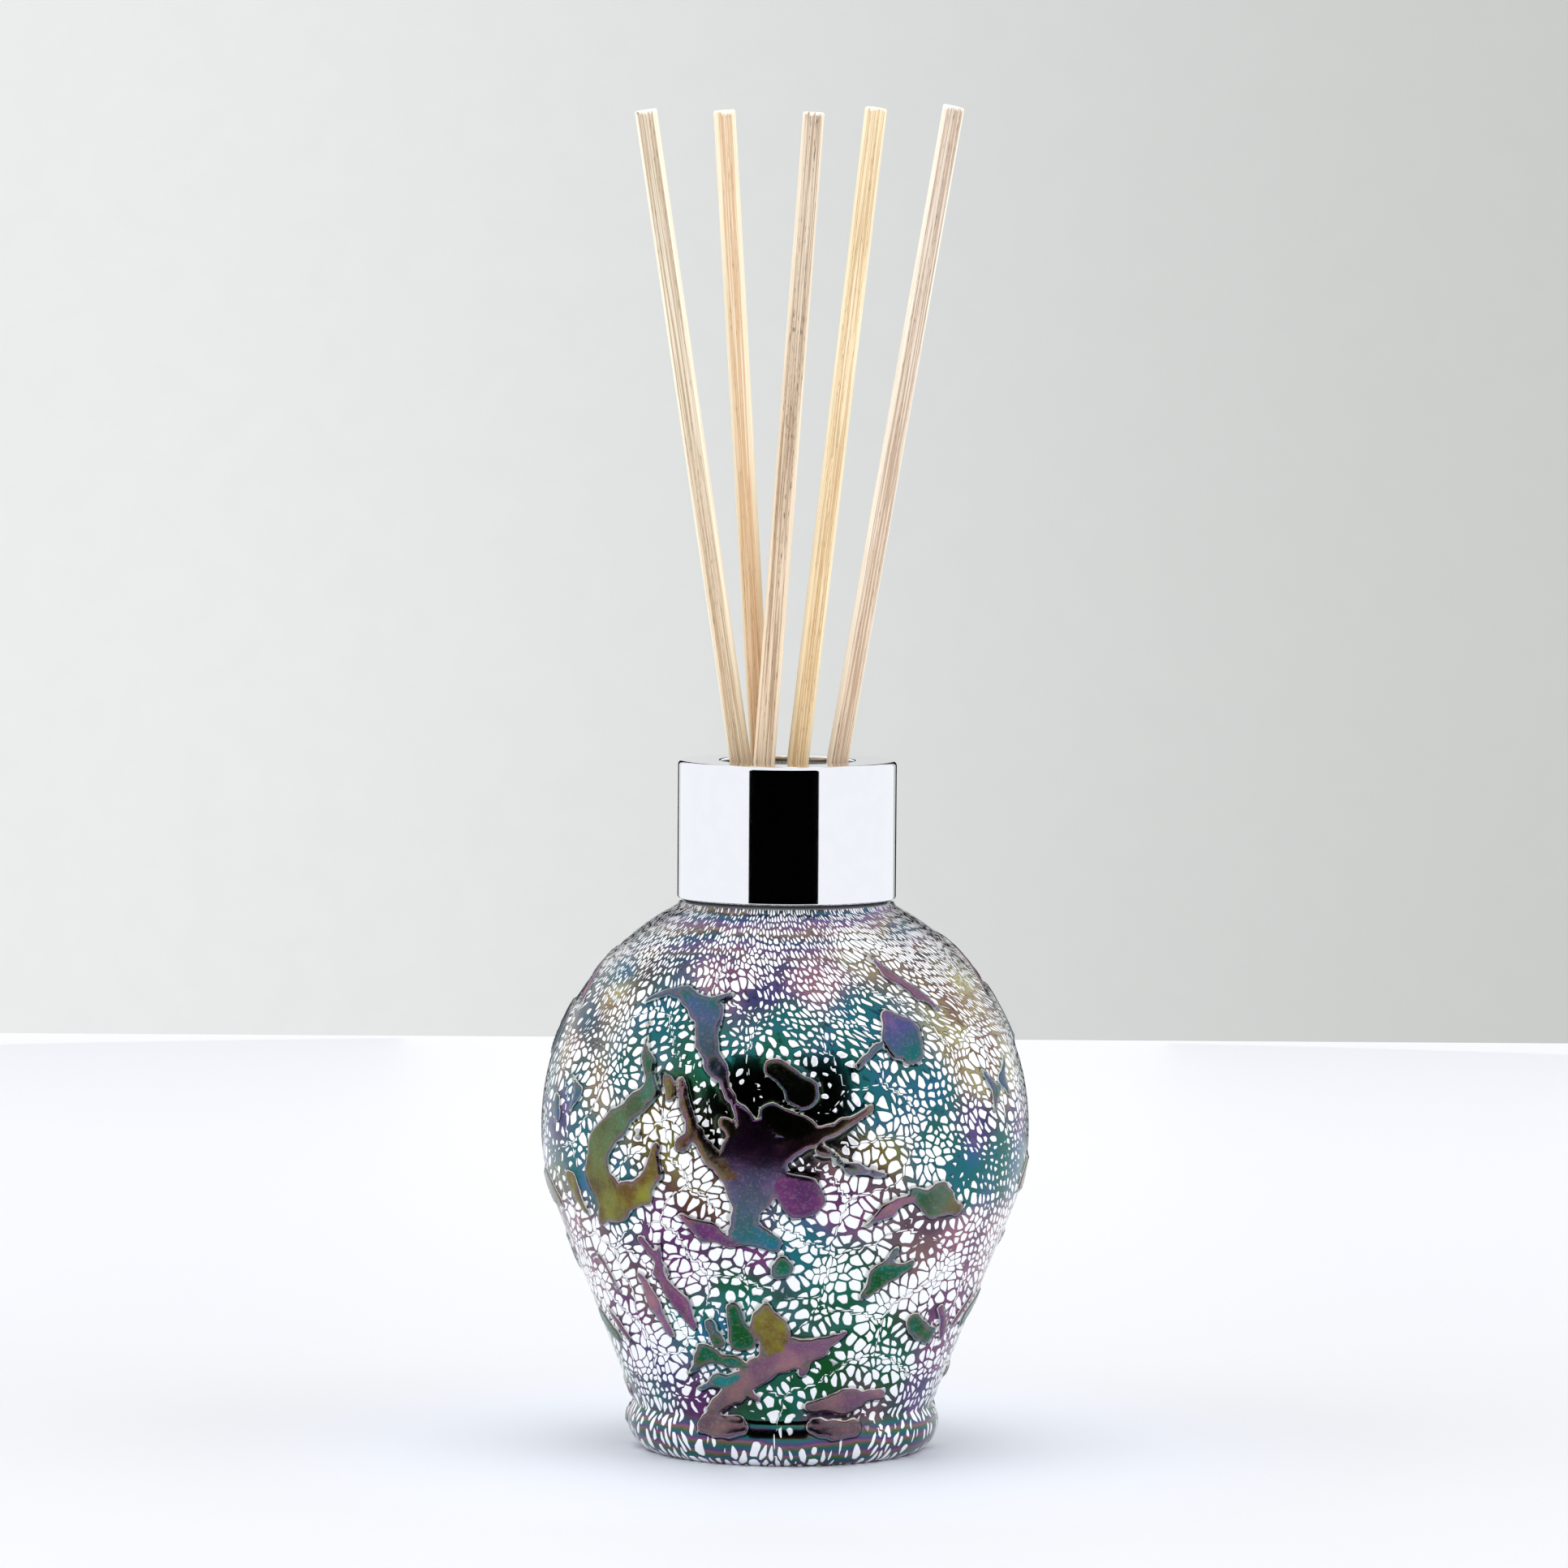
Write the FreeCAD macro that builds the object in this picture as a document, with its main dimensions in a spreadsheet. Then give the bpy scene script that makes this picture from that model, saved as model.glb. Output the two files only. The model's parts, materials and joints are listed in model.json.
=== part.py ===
"""Reed diffuser: blown glass bottle, screw-on collar and five wooden reeds.

Millimetres, +Z up. The origin is on the bottle's axis, at the plane it stands on.
"""
import FreeCAD, Part
import math
import os
import Sketcher

os.makedirs("parts", exist_ok=True)
doc = FreeCAD.newDocument("reed_diffuser")

SIZES = {
    # Glass bottle: a round shoulder over a tapering flank that stands on a rolled foot.
    "belly_radius": 36.0,
    "belly_height": 47.2,
    "shoulder_lead": 0.7,
    "flank_inset": 4.7,
    "waist_radius": 22.2,
    "waist_height": 6.8,
    "foot_roll": 4.25,
    "contact_outer": 19.8,
    "contact_inner": 17.0,
    "kick_radius": 15.5,
    "kick_depth": 1.6,
    "glass_wall": 3.2,
    "floor_height": 7.0,
    "floor_corner": 6.0,
    "neck_radius": 11.6,
    "neck_rise": 17.0942,
    "neck_wall": 2.4,
    # Threaded ferrule, cemented to the plain blown neck.
    "cement_gap": 0.5,
    "cement_setback": 0.5,
    "ferrule_wall": 0.9,
    "ferrule_length": 14.6,
    "ferrule_setback": 0.4,
    "thread_pitch": 4.23,
    "thread_depth": 0.8,
    "thread_root": 2.0,
    "thread_crest": 1.2,
    "thread_turns": 1.25,
    "thread_start": 2.0,
    "thread_clearance": 0.15,
    "thread_bite": 0.1,
    "groove_bite": 0.2,
    "groove_run_out": 1.6,
    # Collar: a threaded liner in a plated shell, closed on the neck by a flat seal.
    "seal_height": 1.2,
    "seal_width": 3.0,
    "liner_flange": 1.2,
    "liner_wall": 2.0,
    "liner_length": 17.4,
    "mouth_step": 0.7,
    "shell_wall": 0.8,
    "shell_top": 1.3,
    "shell_length": 20.1,
    "shell_round": 0.8,
    "shell_hem": 0.3,
    "mouth_round": 0.3,
    # Fragrance oil.
    "oil_level": 42.0,
    "oil_clearance": 0.35,
    # Reeds.
    "reed_diameter": 3.3,
    "reed_foot_gap": 1.0,
}

# Each reed: its centre at the mouth, its centre at its foot, and its cut length.
REEDS = (
    {"mouth": (-6.9, 0.0), "foot": (7.05, 6.05), "length": 189.4},
    {"mouth": (-3.9, 3.7), "foot": (1.87, 10.2), "length": 187.8},
    {"mouth": (-3.4, -3.2), "foot": (-9.9, -9.9), "length": 187.8},
    {"mouth": (1.5, -1.2), "foot": (-9.0, -6.2), "length": 189.0},
    {"mouth": (7.3, 0.3), "foot": (-8.5, -2.35), "length": 190.6},
)

for number, reed in enumerate(REEDS, start=1):
    SIZES["mouth_east_" + str(number)] = reed["mouth"][0]
    SIZES["mouth_north_" + str(number)] = reed["mouth"][1]
    SIZES["foot_east_" + str(number)] = reed["foot"][0]
    SIZES["foot_north_" + str(number)] = reed["foot"][1]
    SIZES["reed_length_" + str(number)] = reed["length"]

sheet = doc.addObject("Spreadsheet::Sheet", "sizes")
for row, (word, number) in enumerate(SIZES.items(), start=1):
    sheet.set("A" + str(row), word)
    sheet.set("B" + str(row), str(number))
    sheet.setAlias("B" + str(row), word)

# Heights and radii that follow from the sizes above, kept as formulas in the sheet.
DERIVED = {
    "shoulder_radius": "belly_radius + shoulder_lead",
    "flank_radius": "belly_radius - flank_inset",
    "shell_radius": "neck_radius + cement_gap + ferrule_wall + thread_clearance + liner_wall"
                    " + shell_wall",
    # The rim stands a fixed rise above the shoulder at the collar's radius.
    "neck_top": "belly_height + sqrt(shoulder_radius ^ 2 - (shell_radius + shoulder_lead) ^ 2)"
                " + neck_rise",
    "throat_radius": "neck_radius - neck_wall",
    "mouth_radius": "neck_radius - neck_wall + mouth_step",
    "cement_radius": "neck_radius + cement_gap",
    "ferrule_radius": "neck_radius + cement_gap + ferrule_wall",
    "ferrule_top": "neck_top - ferrule_setback",
    "liner_bore": "neck_radius + cement_gap + ferrule_wall + thread_clearance",
    "liner_radius": "neck_radius + cement_gap + ferrule_wall + thread_clearance + liner_wall",
    "seal_top": "neck_top + seal_height",
    "flange_top": "neck_top + seal_height + liner_flange",
    "mouth_height": "neck_top + seal_height + liner_flange + shell_top",
    "reed_foot_height": "floor_height + reed_foot_gap",
}
for row, (word, formula) in enumerate(DERIVED.items(), start=len(SIZES) + 1):
    sheet.set("A" + str(row), word)
    sheet.set("B" + str(row), "=" + formula)
    sheet.setAlias("B" + str(row), word)
doc.recompute()


# How near an edge's circle has to be to the wanted one, in millimetres.
SAME_CIRCLE = 0.01


def size(word):
    """Return one number from the sheet."""
    return float(getattr(sheet, word))


def linked(text):
    """Return the formula with each of the sheet's words written as sizes.word."""
    known = set(SIZES) | set(DERIVED)
    spaced = text.replace("(", " ( ").replace(")", " ) ").split()
    return " ".join("sizes." + word if word in known else word for word in spaced)


def value(text):
    """Return what a formula of the sheet's words and plain arithmetic comes to now."""
    total = 0.0
    sign = 1.0
    for word in text.split():
        if word in ("+", "-"):
            sign = 1.0 if word == "+" else -1.0
            continue
        known = word in SIZES or word in DERIVED
        total += sign * (size(word) if known else float(word))
    return total


def new_body(name):
    """Add an empty body whose label is its node's name."""
    body = doc.addObject("PartDesign::Body", name)
    body.Label = name
    doc.recompute()
    return body


def new_sketch(body, name):
    """Add a sketch on the body's own XZ plane: sketch x is the radius, sketch y is Z."""
    sketch = body.newObject("Sketcher::SketchObject", name)
    plane = [item for item in body.Origin.OriginFeatures if item.Role == "XZ_Plane"][0]
    sketch.AttachmentSupport = [(plane, "")]
    sketch.MapMode = "FlatFace"
    return sketch


def bind(sketch, constraint, formula):
    """Add a driving constraint and tie it to a formula."""
    number = sketch.addConstraint(constraint)
    sketch.setExpression("Constraints[" + str(number) + "]", linked(formula))
    return number


def place_point(sketch, edge, end, radius, height):
    """Hold one end of an edge at a radius and a height, each a formula."""
    for kind, formula in (("DistanceX", radius), ("DistanceY", height)):
        if formula == "0":
            axis = -2 if kind == "DistanceX" else -1
            sketch.addConstraint(Sketcher.Constraint("PointOnObject", edge, end, axis))
        elif formula:
            held = Sketcher.Constraint(kind, -1, 1, edge, end, value(formula))
            bind(sketch, held, formula)


def polygon(body, name, corners):
    """Draw a closed outline of straight edges through corners given as formulas."""
    sketch = new_sketch(body, name)
    spots = [FreeCAD.Vector(value(radius), value(height), 0) for radius, height in corners]
    for number, spot in enumerate(spots):
        sketch.addGeometry(Part.LineSegment(spot, spots[(number + 1) % len(spots)]))
    for number, (radius, height) in enumerate(corners):
        following = (number + 1) % len(corners)
        sketch.addConstraint(Sketcher.Constraint("Coincident", number, 2, following, 1))
        place_point(sketch, number, 1, radius, height)
    return sketch


def turn(body, sketch, name):
    """Revolve a sketch a full turn about the sketch's vertical axis."""
    solid = body.newObject("PartDesign::Revolution", name)
    solid.Profile = sketch
    solid.ReferenceAxis = (sketch, ["V_Axis"])
    solid.Angle = 360
    doc.recompute()
    return solid


def ring(name, inner, outer, low, high):
    """Make a plain ring from four formulas."""
    body = new_body(name)
    corners = ((inner, low), (outer, low), (outer, high), (inner, high))
    turn(body, polygon(body, name + "_outline", corners), name + "_turned")
    return body


def wind(body, kind, name, corners, turns):
    """Sweep a thread's profile along the helix that both threads share."""
    sketch = polygon(body, name + "_profile", corners)
    doc.recompute()
    helix = body.newObject(kind, name)
    helix.Profile = sketch
    helix.ReferenceAxis = (sketch, ["V_Axis"])
    helix.Mode = "pitch-turns-angle"
    helix.setExpression("Pitch", "sizes.thread_pitch")
    helix.setExpression("Turns", linked(turns))
    helix.Angle = 0
    helix.LeftHanded = False
    helix.Reversed = False
    doc.recompute()
    return helix


def arc(centre, radius, start, end):
    """Return an arc about a centre, anticlockwise between two angles in degrees."""
    circle = Part.Circle(FreeCAD.Vector(centre[0], centre[1], 0), FreeCAD.Vector(0, 0, 1), radius)
    return Part.ArcOfCircle(circle, math.radians(start), math.radians(end))


def line(start, end):
    """Return a straight edge between two (radius, height) points."""
    return Part.LineSegment(FreeCAD.Vector(*start, 0), FreeCAD.Vector(*end, 0))


def polar(centre, radius, angle):
    """Return the point at an angle in degrees on a circle."""
    turned = math.radians(angle)
    return centre[0] + radius * math.cos(turned), centre[1] + radius * math.sin(turned)


def angle_from(centre, point):
    """Return the angle in degrees of a point seen from a centre."""
    return math.degrees(math.atan2(point[1] - centre[1], point[0] - centre[0])) % 360


def make_bottle():
    """Turn the bottle from one closed outline: outside up, throat, inside down."""
    body = new_body("bottle")
    sketch = new_sketch(body, "bottle_outline")
    belly, waist = size("belly_radius"), size("waist_radius")
    middle, wall = size("belly_height"), size("glass_wall")
    top_radius, flank_radius = size("shoulder_radius"), size("flank_radius")
    upper = (belly - top_radius, middle)
    lower = (belly - flank_radius, middle)
    foot_end = (waist, size("waist_height"))

    # The flank runs from the waist, tangent to the lower arc of the belly.
    reach = math.dist(lower, foot_end)
    aim = angle_from(lower, foot_end) - 360
    flank = aim + math.degrees(math.acos(flank_radius / reach))
    neck = size("neck_radius")
    neck_angle = math.degrees(math.acos((neck - upper[0]) / top_radius))
    throat = size("throat_radius")
    throat_angle = math.degrees(math.acos((throat - upper[0]) / (top_radius - wall)))
    neck_foot = polar(upper, top_radius, neck_angle)
    throat_foot = polar(upper, top_radius - wall, throat_angle)

    # The rolled foot is an arc between the contact ring and the waist.
    tread = (size("contact_outer"), 0.0)
    roll = size("foot_roll")
    half = math.dist(tread, foot_end) / 2
    inward = math.sqrt(roll * roll - half * half)
    rise = (foot_end[1] - tread[1]) / (2 * half)
    run = (foot_end[0] - tread[0]) / (2 * half)
    roll_centre = ((tread[0] + foot_end[0]) / 2 - inward * rise,
                   (tread[1] + foot_end[1]) / 2 + inward * run)

    # The inside corner is an arc tangent to the flank's inside and to the floor.
    floor, corner = size("floor_height"), size("floor_corner")
    slope = math.radians(flank)
    inner_flank = polar(lower, flank_radius - wall, flank)
    deep = floor + corner
    along = (inner_flank[1] - deep - corner * math.sin(slope)) / math.cos(slope)
    inner_end = (inner_flank[0] + along * math.sin(slope), inner_flank[1] - along * math.cos(slope))
    bend = (inner_end[0] - corner * math.cos(slope), inner_end[1] - corner * math.sin(slope))

    outer_flank = polar(lower, flank_radius, flank)
    kick, kick_depth = size("kick_radius"), size("kick_depth")
    neck_top = size("neck_top")
    edges = (
        line((0, kick_depth), (kick, kick_depth)),
        line((kick, kick_depth), (size("contact_inner"), 0)),
        line((size("contact_inner"), 0), tread),
        arc(roll_centre, roll, angle_from(roll_centre, tread) - 360, angle_from(roll_centre, foot_end)),
        line(foot_end, outer_flank),
        arc(lower, flank_radius, flank, 0),
        arc(upper, top_radius, 0, neck_angle),
        line(neck_foot, (neck, neck_top)),
        line((neck, neck_top), (throat, neck_top)),
        line((throat, neck_top), throat_foot),
        arc(upper, top_radius - wall, 0, throat_angle),
        arc(lower, flank_radius - wall, flank, 0),
        line(inner_flank, inner_end),
        arc(bend, corner, -90, flank),
        line((bend[0], floor), (0, floor)),
        line((0, floor), (0, kick_depth)),
    )
    for edge in edges:
        sketch.addGeometry(edge)
    # Arcs run anticlockwise, so the three on the inside are met end first.
    backward = (10, 11, 13)
    smooth = (4, 11, 12, 13)
    for number in range(len(edges)):
        following = (number + 1) % len(edges)
        leaves = 1 if number in backward else 2
        enters = 2 if following in backward else 1
        kind = "Tangent" if number in smooth else "Coincident"
        sketch.addConstraint(Sketcher.Constraint(kind, number, leaves, following, enters))

    place_point(sketch, 0, 1, "0", "kick_depth")
    place_point(sketch, 1, 1, "kick_radius", "kick_depth")
    place_point(sketch, 2, 1, "contact_inner", "0")
    place_point(sketch, 3, 1, "contact_outer", "0")
    place_point(sketch, 4, 1, "waist_radius", "waist_height")
    bind(sketch, Sketcher.Constraint("Radius", 3, roll), "foot_roll")
    place_point(sketch, 6, 1, "belly_radius", "belly_height")
    bind(sketch, Sketcher.Constraint("Radius", 5, flank_radius), "flank_radius")
    bind(sketch, Sketcher.Constraint("Radius", 6, top_radius), "shoulder_radius")
    place_point(sketch, 5, 3, "", "belly_height")
    place_point(sketch, 6, 3, "", "belly_height")
    place_point(sketch, 7, 1, "neck_radius", "")
    place_point(sketch, 8, 1, "neck_radius", "neck_top")
    place_point(sketch, 9, 1, "throat_radius", "neck_top")
    place_point(sketch, 9, 2, "throat_radius", "")
    for inner, outer in ((10, 6), (11, 5)):
        sketch.addConstraint(Sketcher.Constraint("Coincident", inner, 3, outer, 3))
    place_point(sketch, 10, 1, "belly_radius - glass_wall", "belly_height")
    sketch.addConstraint(Sketcher.Constraint("Parallel", 4, 12))
    bind(sketch, Sketcher.Constraint("Radius", 13, corner), "floor_corner")
    place_point(sketch, 14, 2, "0", "floor_height")
    sketch.addConstraint(Sketcher.Constraint("Horizontal", 14))
    turn(body, sketch, "bottle_turned")
    return body


def make_ferrule():
    """Make the threaded sleeve that the collar screws on to."""
    low = "ferrule_top - ferrule_length"
    body = ring("neck_ferrule", "cement_radius", "ferrule_radius", low, "ferrule_top")
    start = low + " + thread_start"
    taper = (size("thread_root") - size("thread_crest")) / 2
    corners = (
        ("ferrule_radius - thread_bite", start),
        ("ferrule_radius + thread_depth", start + " + " + str(taper)),
        ("ferrule_radius + thread_depth", start + " + thread_crest + " + str(taper)),
        ("ferrule_radius - thread_bite", start + " + thread_root"),
    )
    wind(body, "PartDesign::AdditiveHelix", "ferrule_thread", corners, "thread_turns")
    return body


def make_liner():
    """Make the collar's liner: bore, top flange and a groove that clears the thread."""
    body = new_body("collar_liner")
    low = "flange_top - liner_length"
    corners = (
        ("liner_bore", low),
        ("liner_radius", low),
        ("liner_radius", "flange_top"),
        ("mouth_radius", "flange_top"),
        ("mouth_radius", "seal_top"),
        ("liner_bore", "seal_top"),
    )
    turn(body, polygon(body, "liner_outline", corners), "liner_turned")
    before = body.Shape.Volume
    # The groove starts one pitch under the ferrule's thread, below the liner's hem.
    start = "ferrule_top - ferrule_length + thread_start - thread_pitch - thread_clearance"
    taper = (size("thread_root") - size("thread_crest")) / 2
    groove = (
        ("liner_bore - groove_bite", start),
        ("ferrule_radius + thread_depth + thread_clearance", start + " + " + str(taper)),
        ("ferrule_radius + thread_depth + thread_clearance",
         start + " + thread_crest + thread_clearance + thread_clearance + " + str(taper)),
        ("liner_bore - groove_bite", start + " + thread_root + thread_clearance + thread_clearance"),
    )
    wind(body, "PartDesign::SubtractiveHelix", "liner_groove", groove, "thread_turns + groove_run_out")
    if not body.Shape.Volume < before:
        raise RuntimeError("the liner's groove cut nothing")
    return body


def make_shell():
    """Make the collar's plated shell: a cup with a round mouth and rounded rims."""
    body = new_body("collar_shell")
    low = "mouth_height - shell_length"
    corners = (
        ("liner_radius", low),
        ("shell_radius", low),
        ("shell_radius", "mouth_height"),
        ("mouth_radius", "mouth_height"),
        ("mouth_radius", "flange_top"),
        ("liner_radius", "flange_top"),
    )
    solid = turn(body, polygon(body, "shell_outline", corners), "shell_turned")
    rims = (
        ("shell_radius", "mouth_height", "shell_round"),
        ("shell_radius", low, "shell_hem"),
        ("mouth_radius", "mouth_height", "mouth_round"),
    )
    for radius, height, rounding in rims:
        wanted = value(radius), value(height)
        names = []
        for number, edge in enumerate(solid.Shape.Edges, start=1):
            if not isinstance(edge.Curve, Part.Circle):
                continue
            found = edge.Curve.Radius, edge.Curve.Center.z
            if math.dist(found, wanted) < SAME_CIRCLE:
                names.append("Edge" + str(number))
        fillet = body.newObject("PartDesign::Fillet", "shell_" + rounding)
        fillet.Base = (solid, names)
        fillet.setExpression("Radius", linked(rounding))
        doc.recompute()
        solid = fillet
    return body


def make_rod(name, number, radius, length, sink="0"):
    """Make a cylinder along one reed's own line, from the reed's foot less a sink."""
    rod = doc.addObject("Part::Cylinder", name)
    rod.Label = name
    rod.setExpression("Radius", radius)
    rod.setExpression("Height", length)
    tail = str(number)
    east = "(sizes.mouth_east_" + tail + " - sizes.foot_east_" + tail + ")"
    north = "(sizes.mouth_north_" + tail + " - sizes.foot_north_" + tail + ")"
    climb = "(sizes.mouth_height - sizes.reed_foot_height)"
    back = " - (" + sink + ") / " + climb + " * "
    rod.setExpression("Placement.Base.x", "sizes.foot_east_" + tail + back + east)
    rod.setExpression("Placement.Base.y", "sizes.foot_north_" + tail + back + north)
    rod.setExpression("Placement.Base.z", "sizes.reed_foot_height - (" + sink + ")")
    rod.setExpression("Placement.Rotation.Axis.x", "-" + north)
    rod.setExpression("Placement.Rotation.Axis.y", east)
    rod.setExpression("Placement.Rotation.Axis.z", "0")
    lean = "atan(sqrt(" + east + " * " + east + " + " + north + " * " + north + ") / " + climb + ")"
    rod.setExpression("Placement.Rotation.Angle", lean)
    return rod


def make_oil():
    """Fill the bottle to the oil's level, less a well around each reed."""
    bottle_inside = doc.addObject("Part::Feature", "bottle_inside")
    outline = doc.getObject("bottle_outline")
    arcs = [outline.Geometry[number] for number in (10, 11, 13)]
    flank_end = outline.getPoint(12, 2)
    floor = FreeCAD.Vector(0, size("floor_height"), 0)
    throat = FreeCAD.Vector(0, outline.getPoint(9, 2).y, 0)
    edges = [
        Part.LineSegment(floor, arcs[2].StartPoint).toShape(),
        arcs[2].toShape(),
        Part.LineSegment(flank_end, arcs[1].StartPoint).toShape(),
        arcs[1].toShape(),
        arcs[0].toShape(),
        Part.LineSegment(arcs[0].EndPoint, throat).toShape(),
        Part.LineSegment(throat, floor).toShape(),
    ]
    face = Part.Face(Part.Wire(Part.__sortEdges__(edges)))
    face.rotate(FreeCAD.Vector(0, 0, 0), FreeCAD.Vector(1, 0, 0), 90)
    bottle_inside.Shape = face.revolve(FreeCAD.Vector(0, 0, 0), FreeCAD.Vector(0, 0, 1), 360)
    wells = []
    for number in range(1, len(REEDS) + 1):
        reach = "sizes.reed_diameter / 2 + sizes.oil_clearance"
        depth = "sizes.oil_level + sizes.belly_height"
        sink = "sizes.oil_clearance"
        wells.append(make_rod("well_" + str(number), number, reach, depth, sink))
    level = doc.addObject("Part::Cylinder", "oil_column")
    level.setExpression("Radius", "sizes.belly_radius")
    level.setExpression("Height", "sizes.oil_level")
    filled = doc.addObject("Part::Common", "oil_filled")
    filled.Base = bottle_inside
    filled.Tool = level
    bundle = doc.addObject("Part::MultiFuse", "oil_wells")
    bundle.Shapes = wells
    oil = doc.addObject("Part::Cut", "fragrance_oil")
    oil.Label = "fragrance_oil"
    oil.Base = filled
    oil.Tool = bundle
    return oil


nodes = [make_bottle()]
doc.recompute()
cement_low = "ferrule_top - ferrule_length + cement_setback"
cement_high = "ferrule_top - cement_setback"
nodes.append(ring("cement_ring", "neck_radius", "cement_radius", cement_low, cement_high))
nodes.append(make_ferrule())
nodes.append(ring("collar_seal", "mouth_radius", "mouth_radius + seal_width", "neck_top", "seal_top"))
nodes.append(make_liner())
nodes.append(make_shell())
nodes.append(make_oil())
for number in range(1, len(REEDS) + 1):
    length = "sizes.reed_length_" + str(number)
    nodes.append(make_rod("reed_" + str(number), number, "sizes.reed_diameter / 2", length))
doc.recompute()

for item in doc.Objects:
    if "Invalid" in item.State or "Error" in item.State:
        raise RuntimeError(item.Label + " failed: " + str(item.State))
for node in nodes:
    if node.Shape.isNull() or not node.Shape.isValid():
        raise RuntimeError(node.Label + " has no valid shape")
for node in nodes:
    node.Shape.exportStep("parts/" + node.Label + ".step")
    print(node.Label, "volume", round(node.Shape.Volume, 1), "solids", len(node.Shape.Solids))
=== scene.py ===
"""Reed diffuser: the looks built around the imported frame, in metres."""

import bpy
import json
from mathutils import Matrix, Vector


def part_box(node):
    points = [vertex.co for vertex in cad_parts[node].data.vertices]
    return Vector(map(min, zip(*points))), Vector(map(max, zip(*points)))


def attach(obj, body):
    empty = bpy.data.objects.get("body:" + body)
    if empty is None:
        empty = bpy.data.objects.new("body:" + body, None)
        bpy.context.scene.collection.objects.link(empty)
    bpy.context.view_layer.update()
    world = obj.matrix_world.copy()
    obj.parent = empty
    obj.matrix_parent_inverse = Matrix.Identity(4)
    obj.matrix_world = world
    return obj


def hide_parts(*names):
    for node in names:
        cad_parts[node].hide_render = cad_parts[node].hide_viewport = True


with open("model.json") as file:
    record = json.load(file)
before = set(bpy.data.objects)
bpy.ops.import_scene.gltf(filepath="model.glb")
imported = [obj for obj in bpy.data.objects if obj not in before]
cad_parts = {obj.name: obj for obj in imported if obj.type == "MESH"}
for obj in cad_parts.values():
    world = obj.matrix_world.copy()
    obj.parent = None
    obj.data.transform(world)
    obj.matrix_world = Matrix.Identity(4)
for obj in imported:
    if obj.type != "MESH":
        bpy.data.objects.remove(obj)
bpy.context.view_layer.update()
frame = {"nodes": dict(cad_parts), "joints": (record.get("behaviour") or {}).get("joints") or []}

import json
import logging
import math
import random
from dataclasses import dataclass, field, replace
from enum import Enum
from functools import partial, reduce

import bmesh
import bpy
import numpy as np
from mathutils import Matrix, Vector, noise

log = logging.getLogger("reed_diffuser")

MM = 0.001
Colour = tuple[float, float, float]
Point = tuple[float, float]


class Tone(Enum):
    """Linear colours that the lustre takes as its film thickens, and one near black for a painted dark
    reflection.
    """

    BLUE = (0.045, 0.085, 0.190)
    LAVENDER = (0.215, 0.150, 0.310)
    CREAM = (0.370, 0.275, 0.150)
    ROSE = (0.300, 0.135, 0.215)
    MAUVE = (0.170, 0.098, 0.118)
    VIOLET = (0.105, 0.070, 0.215)
    TEAL = (0.020, 0.155, 0.195)
    SEA = (0.018, 0.160, 0.120)
    OLIVE = (0.195, 0.150, 0.030)
    BRONZE = (0.145, 0.090, 0.045)
    PLUM = (0.160, 0.045, 0.155)
    GREEN = (0.012, 0.115, 0.060)
    # Near black painted where the front reflects the black card: a painted dark reflection, not a film
    # colour.
    NIGHT = (0.030, 0.040, 0.022)


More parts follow.
